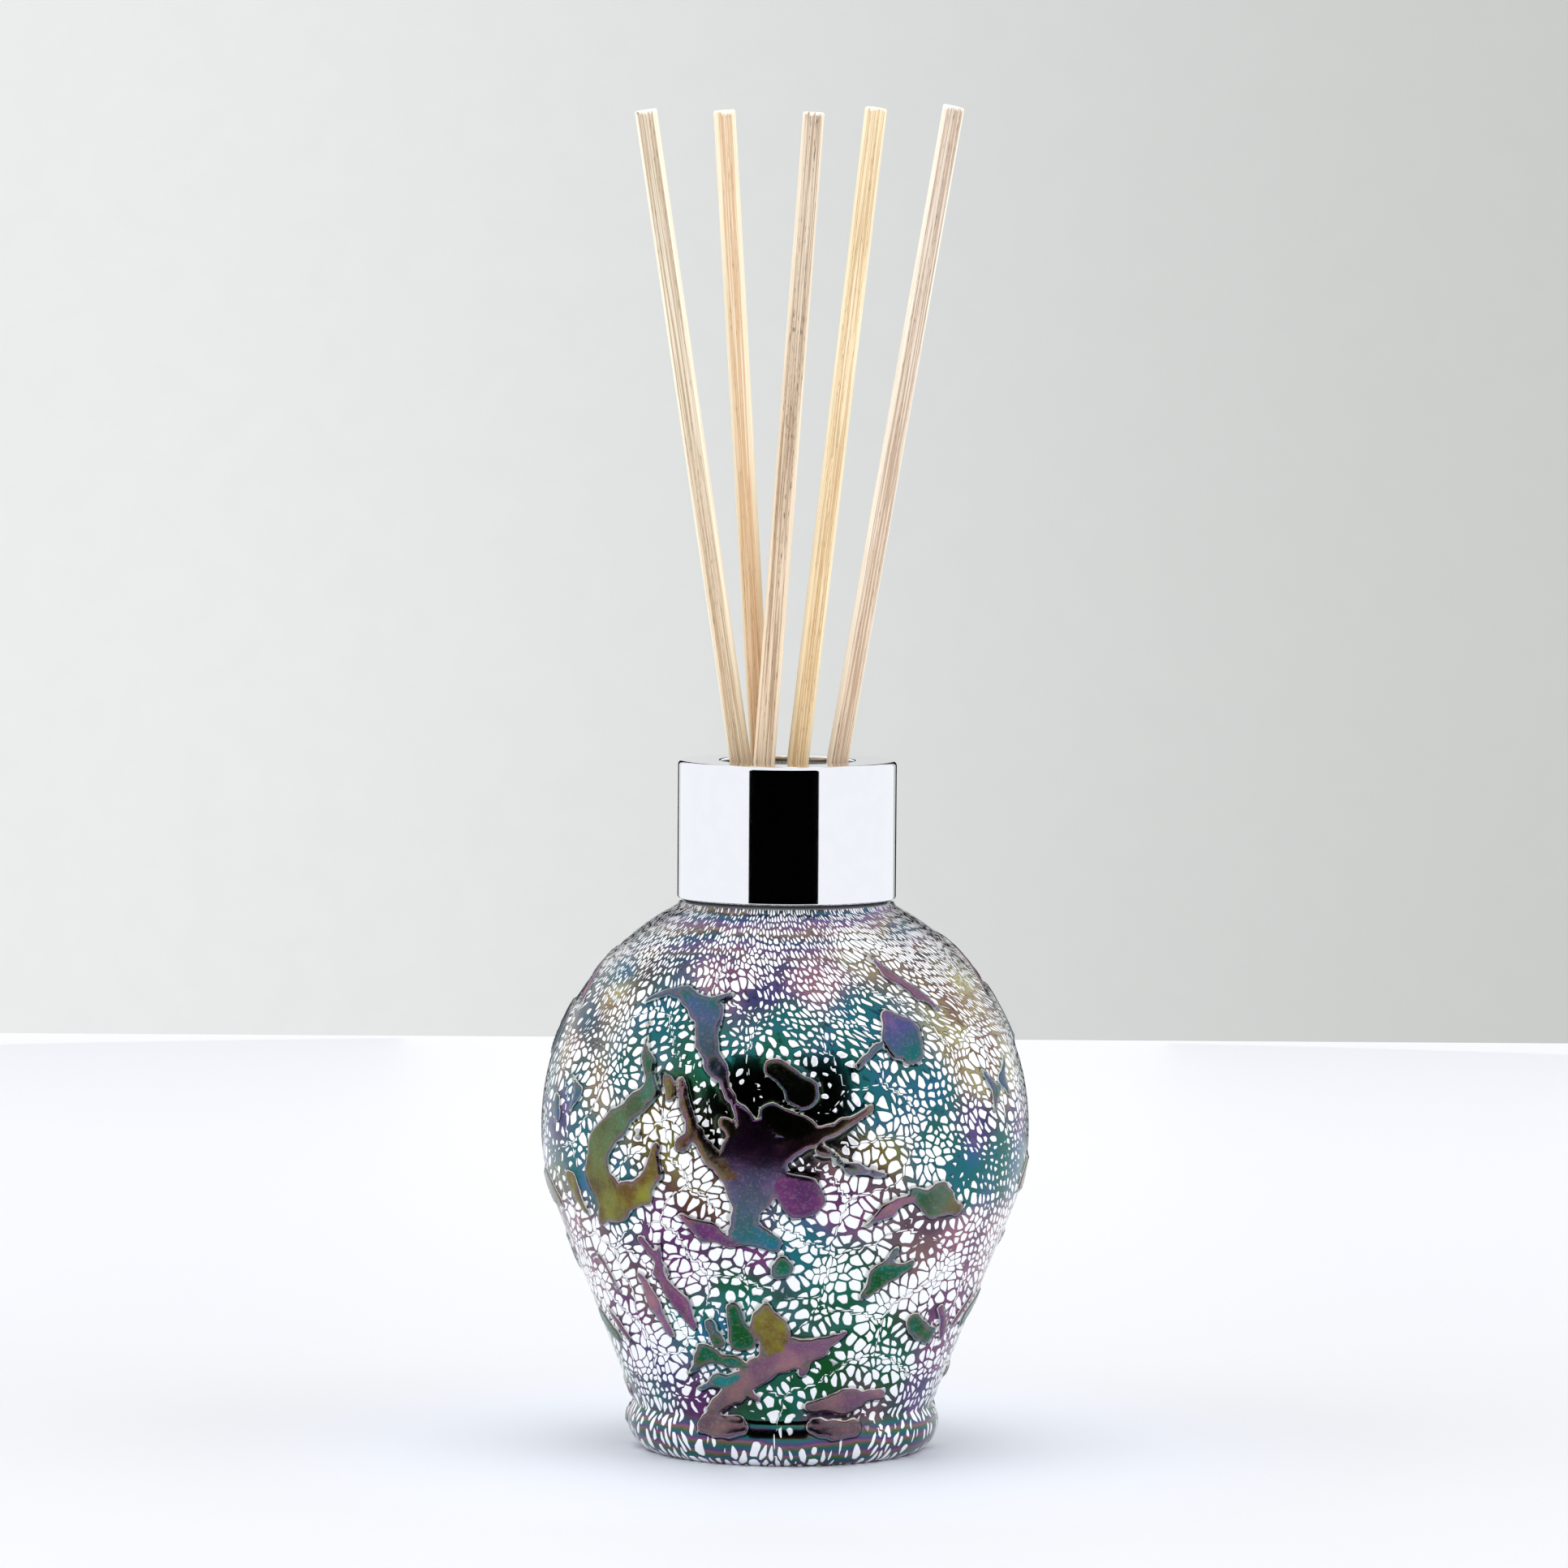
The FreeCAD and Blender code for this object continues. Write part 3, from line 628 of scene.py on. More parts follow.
FRONT_PATCHES = (
    Patch(Tone.TEAL, ((-41, 67.6, 0.5), (-31, 69.4, 0.9), (-22, 66.6, 2.2), (-20, 62.0, 1.4),
                      (-17, 59.0, 1.1), (-13, 55.5, 0.6), (-9, 51.5, 1.2), (-7, 48.5, 2.6)), Tone.PLUM),
    Patch(Tone.TEAL, ((-24, 67.6, 1.3), (-16, 68.9, 0.5))),
    Patch(Tone.SEA, ((-39, 64.5, 0.4), (-35, 59.0, 0.9), (-34, 55.4, 1.1), (-37, 53.0, 1.5),
                       (-43, 50.4, 1.9), (-48, 47.0, 2.2), (-50, 42.4, 2.6), (-45, 38.9, 3.0),
                       (-52, 35.4, 0.6)), Tone.OLIVE),
    Patch(Tone.OLIVE, ((-45, 38.9, 2.6), (-36, 40.4, 1.6), (-32, 44.0, 1.2), (-31, 47.0, 0.8))),
    Patch(Tone.PLUM, ((-7, 48.8, 3.0), (-7, 46.6, 4.6), (-7, 44.0, 4.2), (-8, 41.0, 2.8),
                      (-10, 37.6, 1.8), (-10, 35.4, 1.9), (-4, 34.0, 2.0)), Tone.TEAL),
    Patch(Tone.PLUM, ((-3, 46.6, 2.0), (6, 49.2, 1.4), (14, 51.2, 0.8), (20, 53.2, 0.8)), Tone.OLIVE),
    Patch(Tone.BRONZE, ((-10, 43.0, 2.2), (-17, 46.7, 0.9), (-21, 50.0, 0.9), (-24, 53.7, 0.6),
                        (-26, 57.2, 0.5))),
    Patch(Tone.BRONZE, ((-21, 50.0, 0.7), (-24, 48.2, 1.3))),
    Patch(Tone.PLUM, ((-1, 42.6, 1.8), (4, 40.6, 3.3))),
    # These two ovals are painted near black: a painted dark reflection of the black card.
    Patch(Tone.NIGHT, ((-2, 59.0, 1.8), (4, 55.8, 2.5))),
    Patch(Tone.NIGHT, ((-3, 52.4, 1.9), (5, 49.9, 2.3))),
    Patch(Tone.VIOLET, ((28, 65.8, 1.1), (31, 63.2, 3.2), (33, 61.0, 2.3)), Tone.TEAL),
    Patch(Tone.TEAL, ((24, 62.2, 0.7), (18, 59.6, 0.6))),
    Patch(Tone.ROSE, ((28, 74.4, 0.2), (34, 71.6, 0.8), (41, 68.6, 1.0), (46, 66.4, 0.4))),
    Patch(Tone.SEA, ((31, 40.9, 0.8), (39, 39.5, 2.5), (46, 38.0, 1.2)), Tone.BRONZE),
    Patch(Tone.ROSE, ((32, 40.2, 0.9), (25, 38.3, 0.8), (20, 36.6, 0.5))),
    Patch(Tone.GREEN, ((22, 25.8, 0.7), (27, 29.0, 1.8), (35, 29.9, 0.8))),
    Patch(Tone.SEA, ((25, 28.3, 0.9), (30, 32.4, 0.6))),
    Patch(Tone.GREEN, ((-1, 30.1, 1.7),)),
    Patch(Tone.OLIVE, ((-5, 24.6, 0.7), (-4, 20.8, 2.6), (-2, 18.0, 2.2))),
    Patch(Tone.GREEN, ((-14, 23.4, 1.3), (-13, 19.4, 2.0))),
    Patch(Tone.MAUVE, ((-27, 7.9, 0.9), (-17, 11.0, 1.5), (-8, 14.5, 1.8), (2, 16.8, 2.1),
                      (11, 18.2, 1.4), (19, 20.1, 0.5)), Tone.ROSE),
    Patch(Tone.MAUVE, ((-3, 15.6, 1.3), (-7, 18.4, 0.5))),
    Patch(Tone.MAUVE, ((7, 17.4, 1.2), (6, 14.2, 0.6))),
    Patch(Tone.MAUVE, ((-15, 11.6, 1.2), (-9, 9.8, 0.5))),
    Patch(Tone.GREEN, ((-34, 13.6, 0.4), (-25, 16.7, 1.3), (-16, 15.7, 0.9), (-10, 14.3, 0.8))),
    Patch(Tone.SEA, ((-30, 11.2, 0.6), (-21, 12.5, 1.2), (-11, 13.5, 0.9))),
    Patch(Tone.MAUVE, ((10, 9.0, 1.3), (22, 9.7, 1.7), (36, 10.0, 1.1)), Tone.ROSE),
    Patch(Tone.ROSE, ((-43, 28.2, 0.6), (-40, 24.0, 1.2), (-37, 19.4, 0.6))),
    Patch(Tone.PLUM, ((-39, 33.2, 0.9), (-33, 29.0, 0.6))),
    Patch(Tone.PLUM, ((-25, 37.6, 0.7), (-19, 35.1, 1.4), (-13, 33.8, 1.1))),
    Patch(Tone.TEAL, ((-68, 52.4, 1.1), (-67, 50.0, 1.2))),
    Patch(Tone.GREEN, ((42, 21.2, 1.4), (51, 18.6, 1.4))),
    Patch(Tone.PLUM, ((53, 22.4, 0.8), (59, 18.6, 0.9))),
    Patch(Tone.OLIVE, ((-30, 57.6, 0.6), (-28, 55.2, 1.1))),
    Patch(Tone.BRONZE, ((-14, 51.2, 1.2), (-12, 50.0, 1.2))),
    Patch(Tone.MAUVE, ((-29, 6.0, 1.7), (-17, 5.8, 1.4))),
    Patch(Tone.MAUVE, ((13, 5.8, 1.5), (26, 5.8, 1.5))),
    Patch(Tone.OLIVE, ((-61, 41.0, 1.5), (-57, 36.6, 0.8))),
    Patch(Tone.PLUM, ((-33, 33.0, 0.4), (-36, 28.5, 0.7), (-31, 24.6, 1.3), (-28, 21.0, 0.8))),
    Patch(Tone.MAUVE, ((-58, 29.5, 0.8), (-54, 25.0, 0.4))),
    Patch(Tone.GREEN, ((-22, 21.0, 0.8), (-20, 18.6, 1.1))),
    Patch(Tone.BRONZE, ((8, 47.2, 0.9), (16, 45.2, 0.6), (23, 43.5, 0.5)), Tone.TEAL),
    Patch(Tone.TEAL, ((-36, 49.0, 0.6),)),
    Patch(Tone.TEAL, ((56, 57.5, 0.4), (60, 54.6, 0.8), (58, 51.8, 0.5))),
)

# Film tones of the net, listed as (degrees from the front, height mm, width of the net).
FRONT_FILM = {
    Tone.BLUE: ((-60, 79, 0.34), (-20, 79, 0.36), (60, 79, 0.36), (-45, 75, 0.34), (-65, 64, 0.40)),
    Tone.VIOLET: ((20, 79, 0.30), (-5, 75, 0.27), (-5, 69, 0.28), (52, 50, 0.30), (-50, 14, 0.15),
                  (60, 9, 0.30)),
    Tone.CREAM: ((30, 75, 0.22), (60, 68, 0.29), (50, 60, 0.20), (68, 56, 0.20)),
    Tone.BRONZE: ((65, 74, 0.24), (-22, 40, 0.18)),
    Tone.TEAL: ((-60, 71, 0.40), (-35, 66, 0.30), (0, 66, 0.30), (20, 66, 0.32), (-60, 55, 0.32),
                (-45, 57, 0.27), (16, 61, 0.30), (19, 55, 0.36), (38, 56, 0.26), (24, 52, 0.26),
                (-55, 47, 0.22), (38, 46, 0.20), (48, 43, 0.62), (60, 44, 0.42), (75, 40, 0.24),
                (3, 33, 0.17), (-22, 19, 0.28)),
    Tone.ROSE: ((-15, 72, 0.26), (8, 71, 0.26), (50, 34, 0.20), (55, 28, 0.14)),
    Tone.SEA: ((-2, 62, 0.30), (-18, 60, 0.30), (-30, 22, 0.15), (-55, 9, 0.20)),
    # The near-black net over the front's dark oval, with wide webs, is a painted dark reflection of the
    # black card.
    Tone.NIGHT: ((11, 55, 0.60), (-3, 56, 0.80), (5, 53, 0.85), (-10, 55, 0.60)),
    Tone.OLIVE: ((-30, 50, 0.16), (-70, 42, 0.20), (22, 47, 0.13)),
    Tone.PLUM: ((15, 40, 0.18), (-30, 36, 0.14), (-28, 30, 0.17), (-8, 32, 0.16), (60, 15, 0.20),
                (65, 22, 0.18), (-30, 8, 0.34), (15, 5, 0.90), (-50, 4, 0.40), (-12, 1.5, 0.20),
                (45, 1.5, 0.30)),
    Tone.MAUVE: ((18, 44, 0.12), (38, 35, 0.42), (-60, 32, 0.13), (-45, 25, 0.11), (40, 26, 0.15),
                 (30, 8, 0.34)),
    Tone.GREEN: ((15, 28, 0.15), (-12, 27, 0.18), (28, 21, 0.18), (12, 13, 0.32), (40, 14, 0.24),
                 (0, 9, 0.34), (-15, 5, 0.85), (50, 4, 0.40), (14, 1.5, 0.22), (-45, 1.5, 0.28)),
}


@dataclass
class BlownBottle:
    """The bottle: one closed glass shell with its lustre and raised patches."""

    belly_radius: float = 36.0 * MM
    belly_height: float = 47.2 * MM
    shoulder_radius: float = 36.7 * MM
    flank_radius: float = 31.3 * MM
    waist_radius: float = 22.2 * MM
    waist_height: float = 6.8 * MM
    foot_roll: float = 4.25 * MM
    contact_outer: float = 19.8 * MM
    contact_inner: float = 17.0 * MM
    kick_radius: float = 15.5 * MM
    kick_depth: float = 1.6 * MM
    wall: float = 3.2 * MM
    floor_height: float = 7.0 * MM
    neck_radius: float = 11.6 * MM
    throat_radius: float = 9.2 * MM
    relief: float = 0.34 * MM
    inset: float = 0.38 * MM
    fine_step: float = 0.55 * MM
    coarse_step: float = 3.0 * MM
    turns: int = 384
    noise_seed: int = 7
    comb: float = 1.35
    ring_heights: tuple[float, ...] = (0, 9, 24, 46, 62, 71, 80)
    ring_cells: tuple[float, ...] = (17.0, 17.0, 20.0, 26.0, 29.0, 36.0, 42.0)
    row_heights: tuple[float, ...] = (0, 5, 9, 30, 44, 54, 64, 72, 80)
    row_gaps: tuple[float, ...] = (3.6, 3.0, 1.45, 1.45, 1.4, 1.4, 1.3, 1.5, 1.7)
    back_starts: float = 2.3
    sides: tuple[tuple[float, bool, float], ...] = ((0.0, False, 0.0), (124.0, True, 1.5),
                                                    (-118.0, False, -1.0))

    def flank_angle(self) -> float:
        """Angle at which the straight flank leaves the belly's lower arc, in radians."""
        centre = (self.belly_radius - self.flank_radius, self.belly_height)
        run = self.waist_radius - centre[0]
        drop = self.waist_height - centre[1]
        return math.atan2(drop, run) + math.acos(self.flank_radius / math.hypot(run, drop))

    def outside(self) -> list[Point]:
        """Outline of the outside from the contact ring up to the neck.

        Returns:
            The (radius, height) points.
        """
        half = math.dist((self.contact_outer, 0.0), (self.waist_radius, self.waist_height)) / 2
        inward = math.sqrt(self.foot_roll ** 2 - half ** 2)
        run = (self.waist_radius - self.contact_outer) / (2 * half)
        rise = self.waist_height / (2 * half)
        roll = ((self.contact_outer + self.waist_radius) / 2 - inward * rise,
                self.waist_height / 2 + inward * run)
        start = math.atan2(-roll[1], self.contact_outer - roll[0])
        end = math.atan2(self.waist_height - roll[1], self.waist_radius - roll[0])
        flank = self.flank_angle()
        lower = (self.belly_radius - self.flank_radius, self.belly_height)
        upper = (self.belly_radius - self.shoulder_radius, self.belly_height)
        line_end = (lower[0] + self.flank_radius * math.cos(flank),
                    lower[1] + self.flank_radius * math.sin(flank))
        neck = math.acos((self.neck_radius - upper[0]) / self.shoulder_radius)
        outline = Outline().arc(roll, self.foot_roll, start, end, self.fine_step)
        outline.line(*line_end, self.fine_step)
        outline.arc(lower, self.flank_radius, flank, 0.0, self.fine_step)
        outline.arc(upper, self.shoulder_radius, 0.0, neck, self.fine_step)
        return outline.points

    def shell(self, neck_top: float) -> list[Point]:
        """Whole outline of the glass, outside and inside.

        Args:
            neck_top: height of the neck's rim.

        Returns:
            The (radius, height) points, from the base's centre to the floor's centre.
        """
        outline = Outline().line(0.0, self.kick_depth)
        outline.line(self.kick_radius, self.kick_depth, self.coarse_step)
        outline.line(self.contact_inner, 0.0)
        outline.points += self.outside()
        outline.line(self.neck_radius, neck_top, self.coarse_step)
        outline.line(self.throat_radius, neck_top)
        lower = (self.belly_radius - self.flank_radius, self.belly_height)
        upper = (self.belly_radius - self.shoulder_radius, self.belly_height)
        inner = self.shoulder_radius - self.wall
        throat = math.acos((self.throat_radius - upper[0]) / inner)
        foot = upper[1] + inner * math.sin(throat)
        outline.line(self.throat_radius, foot, self.coarse_step)
        outline.arc(upper, inner, throat, 0.0, self.coarse_step)
        flank = self.flank_angle()
        outline.arc(lower, self.flank_radius - self.wall, 0.0, flank, self.coarse_step)
        last = outline.points[-1]
        deep = self.floor_height + 1.6 * self.wall
        outline.line(last[0] + (last[1] - deep) * math.tan(flank), deep, self.coarse_step)
        outline.line(outline.points[-1][0] - 1.1 * self.wall, self.floor_height + 0.25 * self.wall)
        outline.line(outline.points[-1][0] - 1.2 * self.wall, self.floor_height)
        outline.line(0.0, self.floor_height, self.coarse_step)
        return outline.points

    def on_surface(self, degrees: float, height: float) -> Vector:
        """Point on the outside at an angle from the front and a height in millimetres."""
        heights, radii = self.levels()
        radius = float(np.interp(height * MM, heights, radii))
        turned = math.radians(degrees)
        return Vector((radius * math.sin(turned), -radius * math.cos(turned), height * MM))

    def levels(self) -> tuple[np.ndarray, np.ndarray]:
        """Heights and radii of the outside, rising."""
        points = np.array(self.outside())
        order = np.argsort(points[:, 1], kind="stable")
        return points[order, 1], points[order, 0]

    def patch_field(self, places: np.ndarray) -> tuple[np.ndarray, np.ndarray, np.ndarray]:
        """Distance to the nearest patch's edge, its colour, and the way out of it.

        Args:
            places: points in metres.

        Returns:
            Millimetres to the edge, negative inside; colours; unit vectors away from the patch.
        """
        nearest = np.full(len(places), 9.0)
        colour = np.tile(np.array(Tone.TEAL.value), (len(places), 1))
        outward = np.zeros((len(places), 3))
        for degrees, flip, lift in self.sides:
            for patch in FRONT_PATCHES:
                moved = patch.turned(degrees, flip, lift)
                knots = [np.array(self.on_surface(angle, height)) for angle, height, _ in moved.chain]
                halves = [half for _, _, half in moved.chain]
                if len(knots) == 1:
                    knots, halves = knots * 2, halves * 2
                total = np.zeros(len(places))
                walked = np.zeros(len(places))
                away = np.zeros((len(places), 3))
                for number, (a, b, ha, hb) in enumerate(zip(knots, knots[1:], halves, halves[1:])):
                    span = b - a
                    length = max(float(span @ span), 1e-12)
                    share = np.clip((places - a) @ span / length, 0.0, 1.0)
                    offset = (places - (a + share[:, None] * span)) / MM
                    gap = np.linalg.norm(offset, axis=1)
                    pull = np.exp(-2.2 * np.clip(gap - (ha + (hb - ha) * share), -6, 12))
                    total += pull
                    walked += pull * (number + share)
                    away += offset * (pull / np.maximum(gap, 0.05))[:, None]
                distance = -np.log(total + 1e-14) / 2.2
                closer = distance < nearest
                nearest[closer] = distance[closer]
                first = np.array(patch.tone.value)
                last = np.array((patch.last_tone or patch.tone).value)
                gone = (walked[closer] / total[closer] / (len(knots) - 1))[:, None]
                colour[closer] = first + (last - first) * gone
                outward[closer] = away[closer] / total[closer, None]
        return nearest, colour, outward

    def film_field(self, places: np.ndarray) -> tuple[np.ndarray, np.ndarray]:
        """Colour of the net and its width at each point, blended between the placed tones.

        Args:
            places: points in metres.

        Returns:
            Colours, and widths in the flow's units.
        """
        total = np.zeros((len(places), 3))
        widths = np.zeros(len(places))
        weight = np.zeros(len(places))
        for degrees, flip, lift in self.sides:
            sign = -1.0 if flip else 1.0
            spots = [(tone, *spot) for tone, group in FRONT_FILM.items() for spot in group]
            for tone, angle, height, web in spots:
                spot = np.array(self.on_surface(sign * angle + degrees, height + lift * 0.3))
                gap = np.linalg.norm(places - spot, axis=1) / MM
                share = 1.0 / (gap * gap + 3.0) ** 2.2
                total += share[:, None] * np.array(tone.value)
                widths += share * web
                weight += share
        return total / weight[:, None], widths / weight

    def flow_field(self, places: np.ndarray, edge: np.ndarray, outward: np.ndarray,
                   centre: float) -> np.ndarray:
        """Flat coordinates in which the net's cells are all one unit across.

        Args:
            places: points in metres.
            edge: millimetres to the nearest patch's edge.
            outward: unit vectors away from that patch.
            centre: radians from the front at which the map has its middle.

        Returns:
            One vector for each point.
        """
        points = np.array(self.outside())
        heights = points[:, 1] / MM
        radii = points[:, 0] / MM
        ring = np.interp(heights, self.ring_heights, self.ring_cells)
        across = radii / ring
        along = np.interp(heights, self.row_heights, self.row_gaps)
        order = np.argsort(heights, kind="stable")
        spans = np.hypot(np.diff(radii), np.diff(heights))
        rise = np.concatenate(([0.0], np.cumsum(spans / along[1:])))
        lean = np.interp(heights, (0, 46, 62, 80), (0.0, 0.0, 0.06, 0.30))
        level = places[:, 2] / MM
        angle = np.arctan2(places[:, 0], -places[:, 1])
        seen = np.arctan2(np.sin(angle - centre), np.cos(angle - centre))
        turned = seen + np.interp(level, heights[order], lean[order])
        flow = np.stack([np.interp(level, heights[order], ring[order]) * turned,
                         np.interp(level, heights[order], rise[order]),
                         np.zeros(len(level))], axis=1)

        # Cells are drawn out towards the patches, like the teeth of a comb.
        swell = np.interp(edge, (0.0, 3.0, 8.0), (0.0, 1.0, 0.0)) * -self.comb
        tangent = np.stack([np.cos(angle), np.sin(angle), np.zeros(len(angle))], axis=1)
        sideways = (outward * tangent).sum(axis=1) * swell
        sideways /= np.interp(level, heights[order], across[order])
        upward = outward[:, 2] * swell / np.interp(level, heights[order], along[order])
        flow[:, 0] += sideways + 100.0 * (centre > 1.0)
        flow[:, 1] += upward
        return flow

    def store_flow(self, mesh: bpy.types.Mesh, front: np.ndarray, back: np.ndarray,
                   behind: np.ndarray) -> None:
        """Keep the flow for each face corner, so that the two maps meet at a clean seam.

        Args:
            mesh: the mesh.
            front: the front map, a row for each point.
            back: the back map, a row for each point.
            behind: whether each point is at the back.
        """
        corners = fetch(mesh.loops, "vertex_index", np.int32)
        totals = fetch(mesh.polygons, "loop_total", np.int32)
        starts = np.concatenate(([0], np.cumsum(totals)[:-1]))
        side = np.repeat(behind[corners[starts]], totals)
        rows = np.where(side[:, None], back[corners], front[corners])
        kept = mesh.attributes.new("flow", "FLOAT_VECTOR", "CORNER")
        kept.data.foreach_set("vector", rows.astype(np.float32).ravel())

    def decorated(self, places: np.ndarray) -> np.ndarray:
        """Tell the lustred outside from the inside, the base and the neck.

        Args:
            places: points in metres.

        Returns:
            Whether each point is on the outside.
        """
        heights, radii = self.levels()
        across = np.hypot(places[:, 0], places[:, 1])
        outer = np.interp(places[:, 2], heights, radii)
        shown = (across > outer - self.wall * 0.5) & (places[:, 2] < heights[-1] - 0.1 * MM)
        shown &= across > self.contact_outer * 0.8
        return shown | (across > self.contact_outer * 0.99) & (places[:, 2] < 3 * MM)

    def build(self, lustre: bpy.types.Material, inside: bpy.types.Material) -> bpy.types.Object:
        """Make the bottle.

        Args:
            lustre: material of the outside.
            inside: material of the inside and the neck.

        Returns:
            The piece.
        """
        noise.seed_set(self.noise_seed)
        neck_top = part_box("bottle")[1][2]
        bm = spin_outline(self.shell(neck_top), self.turns)
        piece = new_piece("blown_bottle", bm, lustre)
        mesh = piece.data
        mesh.materials.append(inside)
        places = fetch(mesh.vertices, "co", width=3).astype(float)
        normals = fetch(mesh.vertex_normals, "vector", width=3).astype(float)
        shown = self.decorated(places)

        warped = np.array([Vector(place) + noise.noise_vector(Vector(place) * 230.0) * 0.75 * MM
                           + noise.noise_vector(Vector(place) * 700.0) * 0.34 * MM
                           for place in places])
        edge, patch_tint, outward = self.patch_field(warped)
        raised = 1.0 / (1.0 + np.exp(edge / 0.17))
        rim = np.exp(-((edge + 0.45) / 0.35) ** 2) * 0.35
        pillow = np.clip(-edge / 2.5, 0.0, 1.0) * 0.18 + rim
        wave = np.array([noise.noise(Vector(place) * 70.0) for place in places])
        ripple = np.array([noise.noise(Vector(place) * 260.0) for place in places])
        lift = self.relief * (raised * (0.75 + pillow)) + 0.05 * MM * wave + 0.03 * MM * ripple * raised
        move = np.where(shown, lift - self.inset, 0.0)
        fade = np.clip(places[:, 2] / (2.0 * MM), 0.0, 1.0)
        front = self.flow_field(places, edge, outward, 0.0)
        back = self.flow_field(places, edge, outward, math.pi)
        angles = np.abs(np.arctan2(places[:, 0], -places[:, 1])) + places[:, 2] * 3.0
        net_tint, web = self.film_field(places)
        places += normals * (move * fade)[:, None]
        mesh.vertices.foreach_set("co", places.astype(np.float32).ravel())
        store(mesh, "relief", np.where(shown, edge, 4.0))
        # How far each patch edge turns towards a light from the upper left front; it places the painted
        # shade and painted highlight along the edges.
        store(mesh, "light_facing", outward @ np.array((-0.55, -0.30, 0.78)))
        store(mesh, "patch_tint", patch_tint)
        store(mesh, "net_tint", net_tint)
        store(mesh, "web", web)
        self.store_flow(mesh, front, back, angles > self.back_starts)
        for face in mesh.polygons:
            if not any(shown[number] for number in face.vertices):
                face.material_index = 1
        mesh.update()
        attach(piece, "bottle")
        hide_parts("bottle")
        return piece


@dataclass
class ScrewCollar:
    """The plated collar shell: a turned cup with rounded rims."""

    rim_round: float = 0.75 * MM
    hem_round: float = 0.35 * MM
    mouth_round: float = 0.35 * MM
    mouth_radius: float = 9.9 * MM
    wall: float = 0.8 * MM
    top: float = 1.3 * MM
    turns: int = 256

    def build(self, chrome: bpy.types.Material) -> bpy.types.Object:
        """Make the shell.

        Args:
            chrome: its material.

        Returns:
            The piece.
        """
        low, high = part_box("collar_shell")
        radius, hem, top = high[0], low[2], high[2]
        outline = Outline().line(radius - self.wall, hem)
        outline.arc((radius - self.hem_round, hem + self.hem_round), self.hem_round,
                    -math.pi / 2, 0.0, 0.06 * MM)
        outline.line(radius, top - self.rim_round)
        outline.arc((radius - self.rim_round, top - self.rim_round), self.rim_round,
                    0.0, math.pi / 2, 0.08 * MM)
        outline.line(self.mouth_radius + self.mouth_round, top)
        outline.arc((self.mouth_radius + self.mouth_round, top - self.mouth_round),
                    self.mouth_round, math.pi / 2, math.pi, 0.06 * MM)
        outline.line(self.mouth_radius, top - self.top)
        outline.line(radius - self.wall, top - self.top)
        piece = new_piece("chrome_collar", spin_outline(outline.points, self.turns), chrome)
        sharp = piece.modifiers.new("edges", "WEIGHTED_NORMAL")
        sharp.keep_sharp = True
        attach(piece, "collar")
        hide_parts("collar_shell")
        return piece


